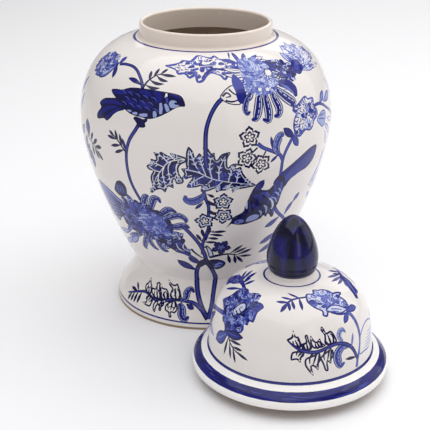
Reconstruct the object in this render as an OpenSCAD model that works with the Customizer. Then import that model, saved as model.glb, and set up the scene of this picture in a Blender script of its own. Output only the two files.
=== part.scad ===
// Ginger jar of the temple-jar shape: a baluster body on a flared foot, and a domed
// lid that has been taken off and stands beside it on its own locating ring.
// The jar's axis is Z, and the origin is the centre of the foot on the table.

/* [Jar] */
// Height of the rim above the table
rim_height = 310; // [290:1:340]
// Height of the widest part of the belly
belly_height = 211; // [195:1:225]
// Diameter at the widest part of the belly
belly_d = 268; // [255:1:280]
// Height of the waist, where the body meets the foot
waist_height = 48; // [42:1:56]
// Diameter at the waist
waist_d = 156.6; // [150:0.2:166]
// Diameter of the foot where it stands
foot_d = 201; // [195:1:210]
// Height of the straight, unglazed edge of the foot
foot_edge = 4; // [3:0.5:6]
// Width of the ring of foot that touches the table
foot_land = 10; // [7:0.5:14]
// Thickness of the fired wall
wall = 6; // [5:0.5:8]
// Thickness of the base slab
floor_thick = 8; // [6:0.5:10]

/* [Neck] */
// Inner diameter of the mouth
mouth_d = 130; // [124:1:134]
// Height of the neck ring above the shoulder
neck_height = 15.5; // [12:0.5:20]
// Thickness of the neck and its round lip
lip_thick = 4.4; // [4:0.2:6]
// Diameter of the neck ring where it spreads onto the shoulder
neck_base_d = 146; // [142:1:150]

/* [Lid] */
// Widest diameter of the lid, at its rolled edge
lid_d = 193; // [186:1:200]
// Diameter of the dome where it rises from the brim
dome_d = 160.4; // [150:0.2:166]
// Height of that line above the bottom of the locating ring
dome_base = 30; // [28:0.5:34]
// Height of the dome above the brim
dome_height = 73; // [66:1:80]
// Outer diameter of the locating ring, which drops into the mouth
ring_d = 124; // [118:0.5:126]
// Depth of the locating ring below the seat
ring_depth = 18; // [14:0.5:19]
// Thickness of the locating ring
ring_thick = 4.5; // [4:0.5:6]
// Radius of the rolled edge
edge_roll = 4.6; // [4:0.1:5]
// Height of the underside of the rolled edge above the ring's bottom
edge_drop = 9.8; // [8:0.1:11]

/* [Finial] */
// Diameter of the egg-shaped knob
knob_d = 49.4; // [44:0.2:56]
// Height of the knob
knob_height = 56.5; // [50:0.5:62]
// Diameter of the collar that carries the knob
collar_d = 41; // [36:0.5:44]
// Height of the collar above the crown of the dome
collar_height = 4.7; // [4:0.1:8]
// Wall of the hollow knob
knob_wall = 5.5; // [5:0.5:7]
// Diameter of the vent that lets the air out of the knob in the kiln
vent_d = 6; // [4:0.5:8]

/* [Place of the lid] */
// Distance of the lid's axis to the right of the jar's axis
lid_right = 81.6; // [78:0.1:140]
// Distance of the lid's axis in front of the jar's axis
lid_front = 179.3; // [179:0.1:260]

/* [Hidden] */
$fn = 96;
curve_steps = 16;
GLAZE = "whitesmoke";
COBALT = "midnightblue";

foot_r = foot_d / 2;
waist_r = waist_d / 2;
belly_r = belly_d / 2;
mouth_r = mouth_d / 2;
lip_r = lip_thick / 2;
neck_base_r = neck_base_d / 2;
neck_base = rim_height - neck_height;
socket_r = waist_r - wall - 1;
floor_top = waist_height + floor_thick;

lid_r = lid_d / 2;
dome_r = dome_d / 2;
ring_r = ring_d / 2;
ring_inner_r = ring_r - ring_thick;
seat = ring_depth;
dome_top = dome_base + dome_height;
vent_r = vent_d / 2;
collar_r = collar_d / 2;
crown_r = collar_r + 5;
knob_r = knob_d / 2;
knob_base = dome_top + collar_height;
knob_top = knob_base + knob_height;
knob_belly = knob_base + knob_height / 4;

// One point of the cubic Bezier curve with the control points p.
function bezier_point(p, t) =
    pow(1 - t, 3) * p[0] + 3 * t * pow(1 - t, 2) * p[1] +
    3 * t * t * (1 - t) * p[2] + pow(t, 3) * p[3];

// The curve as a list of points.
function bezier(p, steps = curve_steps) = [for (i = [0:steps]) bezier_point(p, i / steps)];

// An arc of radius r round the point c, from angle a to angle b.
function arc(c, r, a, b, steps = 8) =
    [for (i = [0:steps]) let (angle = a + (b - a) * i / steps) c + r * [cos(angle), sin(angle)]];

// Turns an outline of [radius, height] points about the jar's axis.
module turned(outline) {
    rotate_extrude() polygon(outline);
}

// Puts a piece of the lid at the place where the lid stands.
module at_lid() {
    translate([lid_right, -lid_front, 0]) children();
}

// Flared foot: a domed skirt that comes in to the waist, hollow underneath.
module jar_foot() {
    outer = bezier([[foot_r, foot_edge], [foot_r, 18], [waist_r + 5, 29], [waist_r, waist_height]]);
    inner = bezier([[socket_r - wall, waist_height], [socket_r - wall, 30],
                    [foot_r - foot_land, 20], [foot_r - foot_land, foot_edge]]);
    color(GLAZE) turned(concat([[foot_r, 0]], outer, inner, [[foot_r - foot_land, 0]]));
}

// Base slab, let into the bottom of the body.
module jar_floor() {
    color(GLAZE) translate([0, 0, waist_height]) cylinder(r = socket_r, h = floor_thick);
}

// Body from the waist up to the seam at the belly.
module jar_body() {
    outer = bezier([[waist_r, waist_height], [waist_r + 16, waist_height + 26],
                    [belly_r, belly_height - 51], [belly_r, belly_height]]);
    inner = bezier([[belly_r - wall, belly_height], [belly_r - wall, belly_height - 51],
                    [waist_r + 9, waist_height + 30], [socket_r, floor_top]]);
    color(GLAZE) turned(concat(outer, inner, [[socket_r, waist_height]]));
}

// Shoulder from the seam at the belly up to the foot of the neck.
module jar_shoulder() {
    rise = neck_base - belly_height;
    outer = bezier([[belly_r, belly_height], [belly_r, belly_height + rise * 0.56],
                    [neck_base_r + 39, neck_base - 6.5], [neck_base_r, neck_base]]);
    inner = bezier([[mouth_r, neck_base - wall], [mouth_r + 40, neck_base - wall - 6.5],
                    [belly_r - wall, belly_height + rise * 0.52], [belly_r - wall, belly_height]]);
    color(GLAZE) turned(concat(outer, [[mouth_r, neck_base]], inner));
}

// Neck ring with a round lip, spread out where it was luted to the shoulder.
module jar_neck() {
    outer_r = mouth_r + lip_thick;
    spread = neck_base_r - outer_r;
    cove = arc([neck_base_r, neck_base + spread], spread, -90, -180);
    lip = arc([mouth_r + lip_r, rim_height - lip_r], lip_r, 0, 180, 12);
    color(GLAZE) turned(concat(cove, lip, [[mouth_r, neck_base]]));
}

// Dome of the lid, closed at the crown but for the vent.
module lid_dome() {
    outer = bezier([[dome_r, dome_base], [dome_r - 1.7, dome_base + dome_height * 0.49],
                    [dome_r - 7, dome_top - 2], [crown_r, dome_top]]);
    inner = bezier([[crown_r, dome_top - wall], [dome_r - 13, dome_top - wall - 2],
                    [dome_r - 1.7 - wall, dome_base + dome_height * 0.45],
                    [dome_r - wall, dome_base]]);
    crown = [[vent_r, dome_top], [vent_r, dome_top - wall]];
    color(GLAZE) at_lid() turned(concat(outer, crown, inner));
}

// Brim: flares down from the dome to a rolled edge, with a flat seat underneath.
module lid_brim() {
    roll_r = lid_r - edge_roll;
    roll_height = edge_drop + edge_roll;
    top = bezier([[dome_r, dome_base], [dome_r + 7, dome_base - 3.5],
                  [lid_r - 1, roll_height + 7], [lid_r, roll_height]]);
    roll = arc([roll_r, roll_height], edge_roll, 0, -90);
    under = bezier([[roll_r, edge_drop], [roll_r - 5, edge_drop],
                    [ring_r + 21, seat], [ring_r + 10, seat]], 10);
    inside = [[ring_inner_r, seat], [ring_inner_r, seat + 5], [ring_r + 8, dome_base - 4],
              [dome_r - wall, dome_base]];
    color(GLAZE) at_lid() turned(concat(top, roll, under, inside));
}

// Locating ring: drops into the mouth and keeps the lid from sliding off.
module lid_locating_ring() {
    bevel = 1.5;
    outline = [[ring_inner_r, seat], [ring_r, seat], [ring_r, bevel], [ring_r - bevel, 0],
               [ring_inner_r + bevel, 0], [ring_inner_r, bevel]];
    color(GLAZE) at_lid() turned(outline);
}

// Collar between the dome and the knob, hollowed into the dome with a cove.
module finial_collar() {
    cove_r = 3;
    cove = arc([collar_r + cove_r, dome_top + cove_r], cove_r, -90, -180);
    color(GLAZE) at_lid()
        turned(concat([[vent_r, dome_top]], cove, [[collar_r, knob_base], [vent_r, knob_base]]));
}

// Egg-shaped knob, hollow, and dipped in cobalt all over.
module finial_knob() {
    outer = concat(
        bezier([[collar_r, knob_base], [collar_r + 2.8, knob_base + 2.5],
                [knob_r, knob_belly - 6], [knob_r, knob_belly]], 8),
        bezier([[knob_r, knob_belly], [knob_r, knob_belly + 16],
                [knob_r / 2, knob_top], [0, knob_top]]));
    inner_r = knob_r - knob_wall;
    inner = concat(
        bezier([[0, knob_top - knob_wall], [inner_r / 2, knob_top - knob_wall],
                [inner_r, knob_belly + 14], [inner_r, knob_belly]], 10),
        bezier([[inner_r, knob_belly], [inner_r, knob_belly - 5],
                [inner_r - 4, knob_base + knob_wall], [vent_r, knob_base + knob_wall]], 6));
    color(COBALT) at_lid() turned(concat(outer, inner, [[vent_r, knob_base]]));
}

jar_foot();
jar_floor();
jar_body();
jar_shoulder();
jar_neck();
lid_dome();
lid_brim();
lid_locating_ring();
finial_collar();
finial_knob();
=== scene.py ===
"""Looks of the ginger jar: glazed porcelain with a scene of birds and flowers painted in cobalt.

Each glazed section is one closed turned mesh. The painting is part of its surface: the brush
shapes are drawn on the unrolled wall, cut into the mesh and given the glaze of their tone.
Lengths are in millimetres until a mesh is made, and angles are in degrees.
"""
import math
import random

import bpy
import numpy as np
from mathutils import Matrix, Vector
from mathutils.geometry import delaunay_2d_cdt


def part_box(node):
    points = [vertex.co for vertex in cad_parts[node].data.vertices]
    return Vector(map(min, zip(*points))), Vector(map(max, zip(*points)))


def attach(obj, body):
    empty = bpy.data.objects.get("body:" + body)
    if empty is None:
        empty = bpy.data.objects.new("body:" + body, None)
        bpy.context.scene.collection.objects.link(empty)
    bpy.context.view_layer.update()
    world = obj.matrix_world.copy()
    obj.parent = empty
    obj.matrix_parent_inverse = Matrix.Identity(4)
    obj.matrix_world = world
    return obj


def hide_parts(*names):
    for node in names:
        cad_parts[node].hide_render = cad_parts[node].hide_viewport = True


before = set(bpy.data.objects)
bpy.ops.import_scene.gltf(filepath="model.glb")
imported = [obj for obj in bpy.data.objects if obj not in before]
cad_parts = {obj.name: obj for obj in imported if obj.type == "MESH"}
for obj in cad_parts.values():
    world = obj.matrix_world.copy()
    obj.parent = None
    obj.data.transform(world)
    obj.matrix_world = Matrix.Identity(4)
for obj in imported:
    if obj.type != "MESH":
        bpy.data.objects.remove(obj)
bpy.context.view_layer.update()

MM = 0.001


# ---------------------------------------------------------------- sizes from the frame

def low(node):
    """Height of the bottom of a CAD node."""
    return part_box(node)[0][2] / MM


def high(node):
    """Height of the top of a CAD node."""
    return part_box(node)[1][2] / MM


def half_width(node):
    """Largest radius of a turned CAD node."""
    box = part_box(node)
    return (box[1][0] - box[0][0]) / MM / 2


def axis_of(node):
    """Place of the axis of a turned CAD node, seen from above."""
    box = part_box(node)
    return ((box[0][0] + box[1][0]) / MM / 2, (box[0][1] + box[1][1]) / MM / 2)


WALL = 6
FOOT_LAND = 10
FOOT_EDGE = 4
BARE_EDGE = 2.6
LIP = 4.4
RING_THICK = 4.5
VENT_R = 3
WAIST_LEDGE = 1
NECK_STEP = 8
BRIM_ROLL = 4.6
CROWN_FLAT = 2
COLLAR_COVE = 3

foot_r = half_width("jar_foot")
belly_r = half_width("jar_body")
neck_base_r = half_width("jar_neck")
waist_height = high("jar_foot")
belly_height = high("jar_body")
neck_base = high("jar_shoulder")
rim_height = high("jar_neck")
floor_top = high("jar_floor")
socket_r = half_width("jar_floor")
waist_r = socket_r + WALL + WAIST_LEDGE
mouth_r = neck_base_r - NECK_STEP

lid_axis = axis_of("lid_brim")
lid_r = half_width("lid_brim")
dome_r = half_width("lid_dome")
ring_r = half_width("lid_locating_ring")
ring_inner_r = ring_r - RING_THICK
dome_base = low("lid_dome")
dome_top = high("lid_dome")
seat = high("lid_locating_ring")
crown_r = half_width("finial_collar") + CROWN_FLAT
collar_r = crown_r - CROWN_FLAT - COLLAR_COVE
knob_base = low("finial_knob")
knob_top = high("finial_knob")
knob_r = half_width("finial_knob")


# ---------------------------------------------------------------- curves

def bezier(points, steps=24):
    """Points along the cubic Bezier curve with these four control points."""
    start, first, second, end = (np.array(p, float) for p in points)
    t = np.linspace(0, 1, steps + 1)[:, None]
    return ((1 - t) ** 3 * start + 3 * t * (1 - t) ** 2 * first
            + 3 * t * t * (1 - t) * second + t ** 3 * end)


def arc(centre, radius, from_angle, to_angle, steps=10):
    """Points along a circular arc."""
    angles = np.radians(np.linspace(from_angle, to_angle, steps + 1))
    return np.column_stack([centre[0] + radius * np.cos(angles), centre[1] + radius * np.sin(angles)])


def smooth(points, closed=False, steps=5):
    """A soft curve through given points."""
    points = [np.array(p, float) for p in points]
    count = len(points)
    curve = []
    for i in range(count if closed else count - 1):
        start = points[i]
        end = points[(i + 1) % count]
        before = points[i - 1] if closed or i > 0 else 2 * start - end
        after = points[(i + 2) % count] if closed or i + 2 < count else 2 * end - start
        for k in range(steps):
            t = k / steps
            curve.append(0.5 * (2 * start + (end - before) * t
                                + (2 * before - 5 * start + 4 * end - after) * t * t
                                + (3 * start - before - 3 * end + after) * t ** 3))
    if not closed:
        curve.append(points[-1])
    return np.array(curve)


def turned_by(degrees):
    """Matrix that turns a flat vector."""
    angle = math.radians(degrees)
    return np.array([[math.cos(angle), -math.sin(angle)], [math.sin(angle), math.cos(angle)]])


# ---------------------------------------------------------------- glazes

GLAZE_IOR = 1.43


def linear(red, green, blue):
    """A colour given as 0 to 255, as the shader wants it."""
    return tuple((c / 255 / 12.92 if c / 255 <= 0.04045 else ((c / 255 + 0.055) / 1.055) ** 2.4)
                 for c in (red, green, blue)) + (1.0,)


def new_material(name, colour, roughness):
    """A material with its plain values set; returns it with its nodes and links."""
    material = bpy.data.materials.new(name)
    material.use_nodes = True
    nodes = material.node_tree.nodes
    links = material.node_tree.links
    shader = nodes["Principled BSDF"]
    shader.inputs["Base Color"].default_value = colour
    shader.inputs["Roughness"].default_value = roughness
    shader.inputs["IOR"].default_value = GLAZE_IOR
    return material, nodes, links, shader


def noise(nodes, links, scale, detail=3.0, stretch=(1, 1, 1)):
    """Noise in the object's own space."""
    place = nodes.new("ShaderNodeTexCoord")
    mapping = nodes.new("ShaderNodeMapping")
    mapping.inputs["Scale"].default_value = stretch
    texture = nodes.new("ShaderNodeTexNoise")
    texture.inputs["Scale"].default_value = scale
    texture.inputs["Detail"].default_value = detail
    links.new(place.outputs["Object"], mapping.inputs["Vector"])
    links.new(mapping.outputs["Vector"], texture.inputs["Vector"])
    return texture


def spread(nodes, links, texture, low_value, high_value):
    """Turns noise into values between two limits."""
    scale = nodes.new("ShaderNodeMapRange")
    scale.inputs["From Min"].default_value = 0.3
    scale.inputs["From Max"].default_value = 0.7
    scale.inputs["To Min"].default_value = low_value
    scale.inputs["To Max"].default_value = high_value
    links.new(texture.outputs["Fac"], scale.inputs["Value"])
    return scale.outputs["Result"]


def add_bump(nodes, links, shader, texture, strength, depth):
    """Small relief from noise."""
    bump = nodes.new("ShaderNodeBump")
    bump.inputs["Strength"].default_value = strength
    bump.inputs["Distance"].default_value = depth
    links.new(texture.outputs["Fac"], bump.inputs["Height"])
    links.new(bump.outputs["Normal"], shader.inputs["Normal"])


def glaze(name, colour, smoothest=0.05, roughest=0.13):
    """Fired glaze: glossy, with the faint orange-peel and uneven gloss of a real one."""
    material, nodes, links, shader = new_material(name, colour, smoothest)
    gloss = noise(nodes, links, 55)
    links.new(spread(nodes, links, gloss, smoothest, roughest), shader.inputs["Roughness"])
    peel = noise(nodes, links, 160, 2)
    add_bump(nodes, links, shader, peel, 0.12, 0.0004)
    return material


def biscuit(name, colour):
    """Unglazed fired clay: dry, speckled and slightly rough."""
    material, nodes, links, shader = new_material(name, colour, 0.75)
    grain = noise(nodes, links, 900, 4)
    links.new(spread(nodes, links, grain, 0.62, 0.85), shader.inputs["Roughness"])
    add_bump(nodes, links, shader, grain, 0.35, 0.0003)
    return material


TONES = {
    "white": glaze("white_glaze", linear(236, 231, 228)),
    "ink": glaze("cobalt_ink", linear(13, 13, 70)),
    "cobalt": glaze("cobalt_deep", linear(25, 29, 124)),
    "brim": glaze("cobalt_band", linear(26, 23, 100)),
    "mid": glaze("cobalt_mid", linear(60, 70, 160)),
    "soft": glaze("cobalt_soft", linear(106, 120, 192)),
    "wash": glaze("cobalt_wash", linear(150, 163, 214)),
    "pale": glaze("cobalt_pale", linear(200, 206, 230)),
    # A lighter copy of the white glaze, used as the ground of the brim: painted light that brightens the
    # brim's top and its rolled edge.
    "bright": glaze("brim_white_painted_light", linear(251, 249, 247)),
    # A warmer, darker copy of the white glaze for the outside and lip of the neck: painted shade.
    "cream": glaze("neck_white_painted_shade", linear(234, 222, 211)),
    "bare": biscuit("bare_foot_edge", linear(150, 128, 104)),
    "inside": glaze("inside_glaze", linear(212, 198, 186), 0.12, 0.3),
}
TONE_ORDER = list(TONES)


def knob_glaze():
    """Thick cobalt glaze of the knob, near black, breaking to blue where it ran thin."""
    material, nodes, links, shader = new_material("knob_cobalt", linear(14, 12, 60), 0.06)
    runs = noise(nodes, links, 130, 4, (1, 1, 0.14))
    ramp = nodes.new("ShaderNodeValToRGB")
    ramp.color_ramp.elements[0].position = 0.46
    ramp.color_ramp.elements[0].color = linear(8, 7, 40)
    ramp.color_ramp.elements[1].position = 0.74
    ramp.color_ramp.elements[1].color = linear(34, 30, 116)
    links.new(runs.outputs["Fac"], ramp.inputs["Fac"])
    links.new(ramp.outputs["Color"], shader.inputs["Base Color"])
    gloss = noise(nodes, links, 60)
    links.new(spread(nodes, links, gloss, 0.04, 0.12), shader.inputs["Roughness"])
    add_bump(nodes, links, shader, noise(nodes, links, 120, 2), 0.1, 0.0004)
    return material


KNOB_GLAZE = knob_glaze()


# ---------------------------------------------------------------- turned meshes

class Shell:
    """Collects the faces of one closed turned mesh, with a normal for each corner."""

    COLUMNS = 150
    START = -90
    GENTLE_BEND = 0.8

    def __init__(self, axis):
        self.axis = axis
        self.points = []
        self.faces = []
        self.normals = []
        self.tones = []

    def point(self, angle, radius, height):
        """Adds a point at an angle from the front and returns its number."""
        turn = math.radians(angle)
        self.points.append(((self.axis[0] + radius * math.sin(turn)) * MM,
                            (self.axis[1] - radius * math.cos(turn)) * MM, height * MM))
        return len(self.points) - 1

    def face(self, corners, normals, tone):
        self.faces.append(corners)
        self.normals.extend(normals)
        self.tones.append(tone)

    def angles(self):
        """The angles of the columns of a plain ring."""
        return [self.START + 360 * k / self.COLUMNS for k in range(self.COLUMNS)]

    def ring(self, radius, height):
        """A full ring of points, as a list of (angle, number)."""
        if radius < 1e-6:
            return [(self.START, self.point(0, 0, height))]
        return [(angle, self.point(angle, radius, height)) for angle in self.angles()]

    def zip(self, lower, upper, normal_low, normal_high, tone):
        """Joins two rings. The face looks outwards when the outline runs from lower to upper."""
        def outward(angle, normal):
            turn = math.radians(angle)
            return (normal[0] * math.sin(turn), -normal[0] * math.cos(turn), normal[1])

        def at(loop, k):
            angle, number = loop[k % len(loop)]
            return angle + 360 * (k // len(loop)), number

        if len(lower) == len(upper) == self.COLUMNS:
            for k in range(self.COLUMNS):
                low_now, low_next = at(lower, k), at(lower, k + 1)
                high_now, high_next = at(upper, k), at(upper, k + 1)
                self.face((low_now[1], low_next[1], high_next[1], high_now[1]),
                          [outward(low_now[0], normal_low), outward(low_next[0], normal_low),
                           outward(high_next[0], normal_high), outward(high_now[0], normal_high)], tone)
            return
        i = 0
        j = 0
        low_count = len(lower) if len(lower) > 1 else 0
        high_count = len(upper) if len(upper) > 1 else 0
        while i < low_count or j < high_count:
            low_now = at(lower, i)
            high_now = at(upper, j)
            take_low = j >= high_count or (i < low_count and at(lower, i + 1)[0] <= at(upper, j + 1)[0])
            if take_low:
                low_next = at(lower, i + 1)
                self.face((low_now[1], low_next[1], high_now[1]),
                          [outward(low_now[0], normal_low), outward(low_next[0], normal_low),
                           outward(high_now[0], normal_high)], tone)
                i += 1
            else:
                high_next = at(upper, j + 1)
                self.face((low_now[1], high_next[1], high_now[1]),
                          [outward(low_now[0], normal_low), outward(high_next[0], normal_high),
                           outward(high_now[0], normal_high)], tone)
                j += 1

    def lathe(self, outline, tone, first, last):
        """Turns an outline of (radius, height) between two rings that are there already."""
        outline = np.array(outline, float)
        rings = [first] + [self.ring(r, h) for r, h in outline[1:-1]] + [last]
        self.join(rings, outline, tone, False)

    def join(self, rings, outline, tone, closed):
        """Zips the rings together, soft across gentle bends and sharp across corners.

        tone is the name of a glaze, or a function that gives one for a step of the outline."""
        steps = np.diff(outline, axis=0)
        flat = np.column_stack([steps[:, 1], -steps[:, 0]])
        flat /= np.maximum(np.hypot(*flat.T), 1e-9)[:, None]
        last = len(steps) - 1
        for k in range(last + 1):
            before = flat[k - 1] if k > 0 or closed else flat[k]
            after = flat[(k + 1) % (last + 1)] if k < last or closed else flat[k]
            start = flat[k] + before if flat[k] @ before > self.GENTLE_BEND else flat[k]
            end = flat[k] + after if flat[k] @ after > self.GENTLE_BEND else flat[k]
            face_tone = tone if isinstance(tone, str) else tone(outline[k], outline[k + 1])
            self.zip(rings[k], rings[k + 1], start / np.hypot(*start), end / np.hypot(*end), face_tone)

    def loop(self, outline, tone):
        """Turns an outline that closes on itself, or that starts and ends on the axis."""
        outline = [tuple(p) for p in outline]
        rings = [self.ring(r, h) for r, h in outline[:-1]]
        closed = math.dist(outline[0], outline[-1]) < 1e-9
        rings.append(rings[0] if closed else self.ring(*outline[-1]))
        self.join(rings, np.array(outline, float), tone, closed)

    def make(self, name, node, body, materials=None):
        """Builds the Blender object, hangs it on its body and hides the CAD node it stands in for."""
        mesh = bpy.data.meshes.new(name)
        mesh.from_pydata(self.points, [], self.faces)
        used = sorted(set(self.tones), key=TONE_ORDER.index) if materials is None else list(materials)
        for tone in used:
            mesh.materials.append((materials or TONES)[tone])
        mesh.polygons.foreach_set("material_index", [used.index(t) for t in self.tones])
        mesh.polygons.foreach_set("use_smooth", [True] * len(self.faces))
        mesh.update()
        mesh.normals_split_custom_set([Vector(n).normalized() for n in self.normals])
        piece = bpy.data.objects.new(name, mesh)
        bpy.context.scene.collection.objects.link(piece)
        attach(piece, body)
        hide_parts(node)


class Wall:
    """The outside of a turned piece, unrolled: degrees round the axis, millimetres up the wall."""

    ROW_HEIGHT = 5
    NEAR = 1e-3
    WELD = 1e-4

    def __init__(self, outline):
        self.outline = np.array(outline, float)
        steps = np.hypot(*np.diff(self.outline, axis=0).T)
        self.up = np.concatenate([[0], np.cumsum(steps)])
        self.length = self.up[-1]
        slope = np.gradient(self.outline, self.up, axis=0)
        slope /= np.hypot(*slope.T)[:, None]
        self.facing = np.column_stack([slope[:, 1], -slope[:, 0]])
        self.turn = 0
        self.ground = "white"
        self.shapes = []

    def radius(self, up):
        return np.interp(up, self.up, self.outline[:, 0])

    def height(self, up):
        return np.interp(up, self.up, self.outline[:, 1])

    def mm_per_degree(self, up):
        return math.radians(1) * self.radius(up)

    def paint(self, points, tone):
        """One shape of one tone, over all that is painted already."""
        points = np.array(points, float)
        points[:, 0] += self.turn
        self.shapes.append((points, tone))

    def cut(self, shell, start, end, bands):
        """Cuts the painting between two heights into the shell. Returns its edge rings.

        bands are full rings of one tone, as (from, to, tone)."""
        columns = shell.COLUMNS
        left = shell.START
        right = left + 360
        unit = math.radians(1) * self.outline[:, 0].max()
        lines = sorted({start, end} | {v for a, b, _ in bands for v in (a, b) if start < v < end})
        rows = []
        for a, b in zip(lines, lines[1:]):
            count = max(1, round((b - a) / self.ROW_HEIGHT))
            rows.extend(a + (b - a) * k / count for k in range(count))
        rows.append(end)
        width = columns + 1
        verts = [((left + 360 * k / columns) * unit, v) for v in rows for k in range(width)]
        edges = []
        for v in lines:
            base = rows.index(v) * width
            edges.extend((base + k, base + k + 1) for k in range(columns))
        for r in range(len(rows) - 1):
            edges.append((r * width, (r + 1) * width))
            edges.append((r * width + columns, (r + 1) * width + columns))
        painted = []
        for points, tone in self.shapes:
            if points[:, 1].max() <= start or points[:, 1].min() >= end:
                continue
            for shift in (-360, 0, 360):
                if points[:, 0].max() + shift > left and points[:, 0].min() + shift < right:
                    base = len(verts)
                    flat = (points + (shift, 0)) * (unit, 1)
                    verts.extend(map(tuple, flat))
                    edges.extend((base + k, base + (k + 1) % len(flat)) for k in range(len(flat)))
                    painted.append((flat, tone))
        out, _, cells, _, _, _ = delaunay_2d_cdt([Vector(v) for v in verts], edges, [], 0, self.WELD, False)
        out = np.array([tuple(v) for v in out])
        cells = np.array([tuple(c) for c in cells])
        middles = out[cells].mean(axis=1)
        within = ((middles[:, 0] > left * unit) & (middles[:, 0] < right * unit)
                  & (middles[:, 1] > start) & (middles[:, 1] < end))
        cells = cells[within]
        middles = middles[within]
        tones = np.full(len(cells), self.ground, dtype=object)
        for flat, tone in painted:
            near = np.flatnonzero(((middles >= flat.min(axis=0)) & (middles <= flat.max(axis=0))).all(axis=1))
            tones[near[inside(middles[near], flat)]] = tone
        for a, b, tone in bands:
            tones[(middles[:, 1] > a) & (middles[:, 1] < b)] = tone
        numbers = {}
        seam = []
        rims = ([], [])
        edge_of = []
        for k in np.unique(cells):
            x, v = out[k]
            if x > right * unit - self.NEAR:
                seam.append(k)
                continue
            angle = max(x / unit, left)
            numbers[k] = shell.point(angle, self.radius(v), self.height(v))
            if x < left * unit + self.NEAR:
                edge_of.append((v, numbers[k]))
            if v < start + self.NEAR:
                rims[0].append((angle, numbers[k]))
            if v > end - self.NEAR:
                rims[1].append((angle, numbers[k]))
        for k in seam:
            numbers[k] = min(edge_of, key=lambda pair: abs(pair[0] - out[k][1]))[1]
        turns = np.radians(out[:, 0] / unit)
        flat = [np.interp(out[:, 1], self.up, self.facing[:, side]) for side in (0, 1)]
        normals = np.column_stack([flat[0] * np.sin(turns), -flat[0] * np.cos(turns), flat[1]])
        for cell, tone in zip(cells, tones):
            shell.face([numbers[k] for k in cell], [normals[k] for k in cell], tone)
        return sorted(rims[0]), sorted(rims[1])


def inside(points, outline):
    """Which points lie inside a closed outline, counting its turns round each of them."""
    turns = np.zeros(len(points), int)
    for (x0, y0), (x1, y1) in zip(outline, np.roll(outline, -1, axis=0)):
        side = (x1 - x0) * (points[:, 1] - y0) - (points[:, 0] - x0) * (y1 - y0)
        turns += (y0 <= points[:, 1]) & (y1 > points[:, 1]) & (side > 0)
        turns -= (y0 > points[:, 1]) & (y1 <= points[:, 1]) & (side < 0)
    return turns != 0


class Spot:
    """A place on a wall with millimetre axes of its own, for painting a motif there."""

    def __init__(self, wall, around, up, axes=None):
        self.wall = wall
        self.around = around
        self.up = up
        self.axes = np.eye(2) if axes is None else axes

    def place(self, points):
        """Turns the motif's points into degrees and millimetres on the wall."""
        moved = np.atleast_2d(np.array(points, float)) @ self.axes.T
        up = self.up + moved[:, 1]
        around = self.around + moved[:, 0] / self.wall.mm_per_degree(up)
        return np.column_stack([around, up])

    def at(self, x, y, turn=0, size=1):
        """A spot of its own within this motif, turned and scaled."""
        around, up = self.place([(x, y)])[0]
        return Spot(self.wall, around, up, self.axes @ turned_by(turn) * size)

    def fill(self, points, tone):
        self.wall.paint(self.place(points), tone)

    def soft(self, points, tone, steps=3):
        """A closed shape with a soft outline through given points."""
        self.fill(smooth(points, closed=True, steps=steps), tone)

    def brush(self, points, tone, width, press=(0.5, 1, 0.8, 0.25), steps=4):
        """A brush stroke through the points. press is how hard the brush is held along it."""
        line = smooth(points, steps=steps)
        self.fill(ribbon(line, width, press), tone)

    def blade(self, base, tip, width, tone, bend=0.0):
        """A narrow leaf from its base to its tip, widest beyond the middle, bent to one side."""
        base = np.array(base, float)
        along = np.array(tip, float) - base
        side = np.array([-along[1], along[0]])
        length = math.hypot(*along)
        t = np.linspace(0, 1, 7)[:, None]
        line = base + along * t + side * bend * 4 * t * (1 - t) * 0.5
        half = 0.5 * width / length * np.sin(np.pi * t ** 1.15) ** 0.8
        half[0] = 0.12 * width / length
        outline = np.concatenate([line + side * half, (line - side * half)[::-1]])
        self.fill(outline, tone)

    def stem(self, points, width, edge="ink", core="cobalt", press=(1, 0.9, 1)):
        """A stem with dark edges and a lighter middle."""
        self.brush(points, edge, width, press)
        if core:
            self.brush(points, core, width * 0.6, press)
            self.brush(points, "mid", width * 0.22, press)


def ribbon(line, width, press):
    """The outline of a stroke along a line in millimetres."""
    t = np.linspace(0, 1, len(line))
    half = 0.5 * width * np.interp(t, np.linspace(0, 1, len(press)), press)
    along = np.gradient(line, axis=0)
    along /= np.maximum(np.hypot(*along.T), 1e-9)[:, None]
    side = np.column_stack([-along[:, 1], along[:, 0]]) * half[:, None]
    return np.concatenate([line + side, (line - side)[::-1]])


def inset(outline, depth):
    """The outline moved inwards all round."""
    after = np.roll(outline, -1, axis=0) - outline
    before = outline - np.roll(outline, 1, axis=0)
    along = after / np.maximum(np.hypot(*after.T), 1e-9)[:, None] + before / np.maximum(
        np.hypot(*before.T), 1e-9)[:, None]
    along /= np.maximum(np.hypot(*along.T), 1e-9)[:, None]
    area = np.sum(outline[:, 0] * np.roll(outline[:, 1], -1) - np.roll(outline[:, 0], -1) * outline[:, 1])
    inwards = np.column_stack([-along[:, 1], along[:, 0]]) * (1 if area > 0 else -1)
    return outline + inwards * depth


# ---------------------------------------------------------------- motifs

# Tones of a leaf or petal from its edge inwards: edge, body and vein.
DARK = ("ink", "cobalt", None)
BLUE = ("cobalt", "mid", None)
FAINT = ("mid", "wash", None)
DARK_RIBBED = ("ink", "cobalt", "wash")
INKED_RIBBED = ("ink", "mid", "wash")


def blades(spot, tone, width, ends):
    """Narrow leaves, each one stroke of the brush. ends are (base x, base y, tip x, tip y)."""
    for x0, y0, x1, y1 in ends:
        spot.blade((x0, y0), (x1, y1), width, tone)


def leaf(spot, base, tip, width, tones=("ink", "cobalt", "soft"), bend=0.0):
    """A leaf with a dark edge, a wash and a light vein."""
    line, body, vein = tones
    spot.blade(base, tip, width, line, bend)
    start = np.array(base, float)
    end = np.array(tip, float)
    if body:
        spot.blade(start + (end - start) * 0.08, start + (end - start) * 0.93, width * 0.66, body, bend)
    if vein:
        spot.blade(start + (end - start) * 0.12, start + (end - start) * 0.8, width * 0.13, vein, bend)


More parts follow.
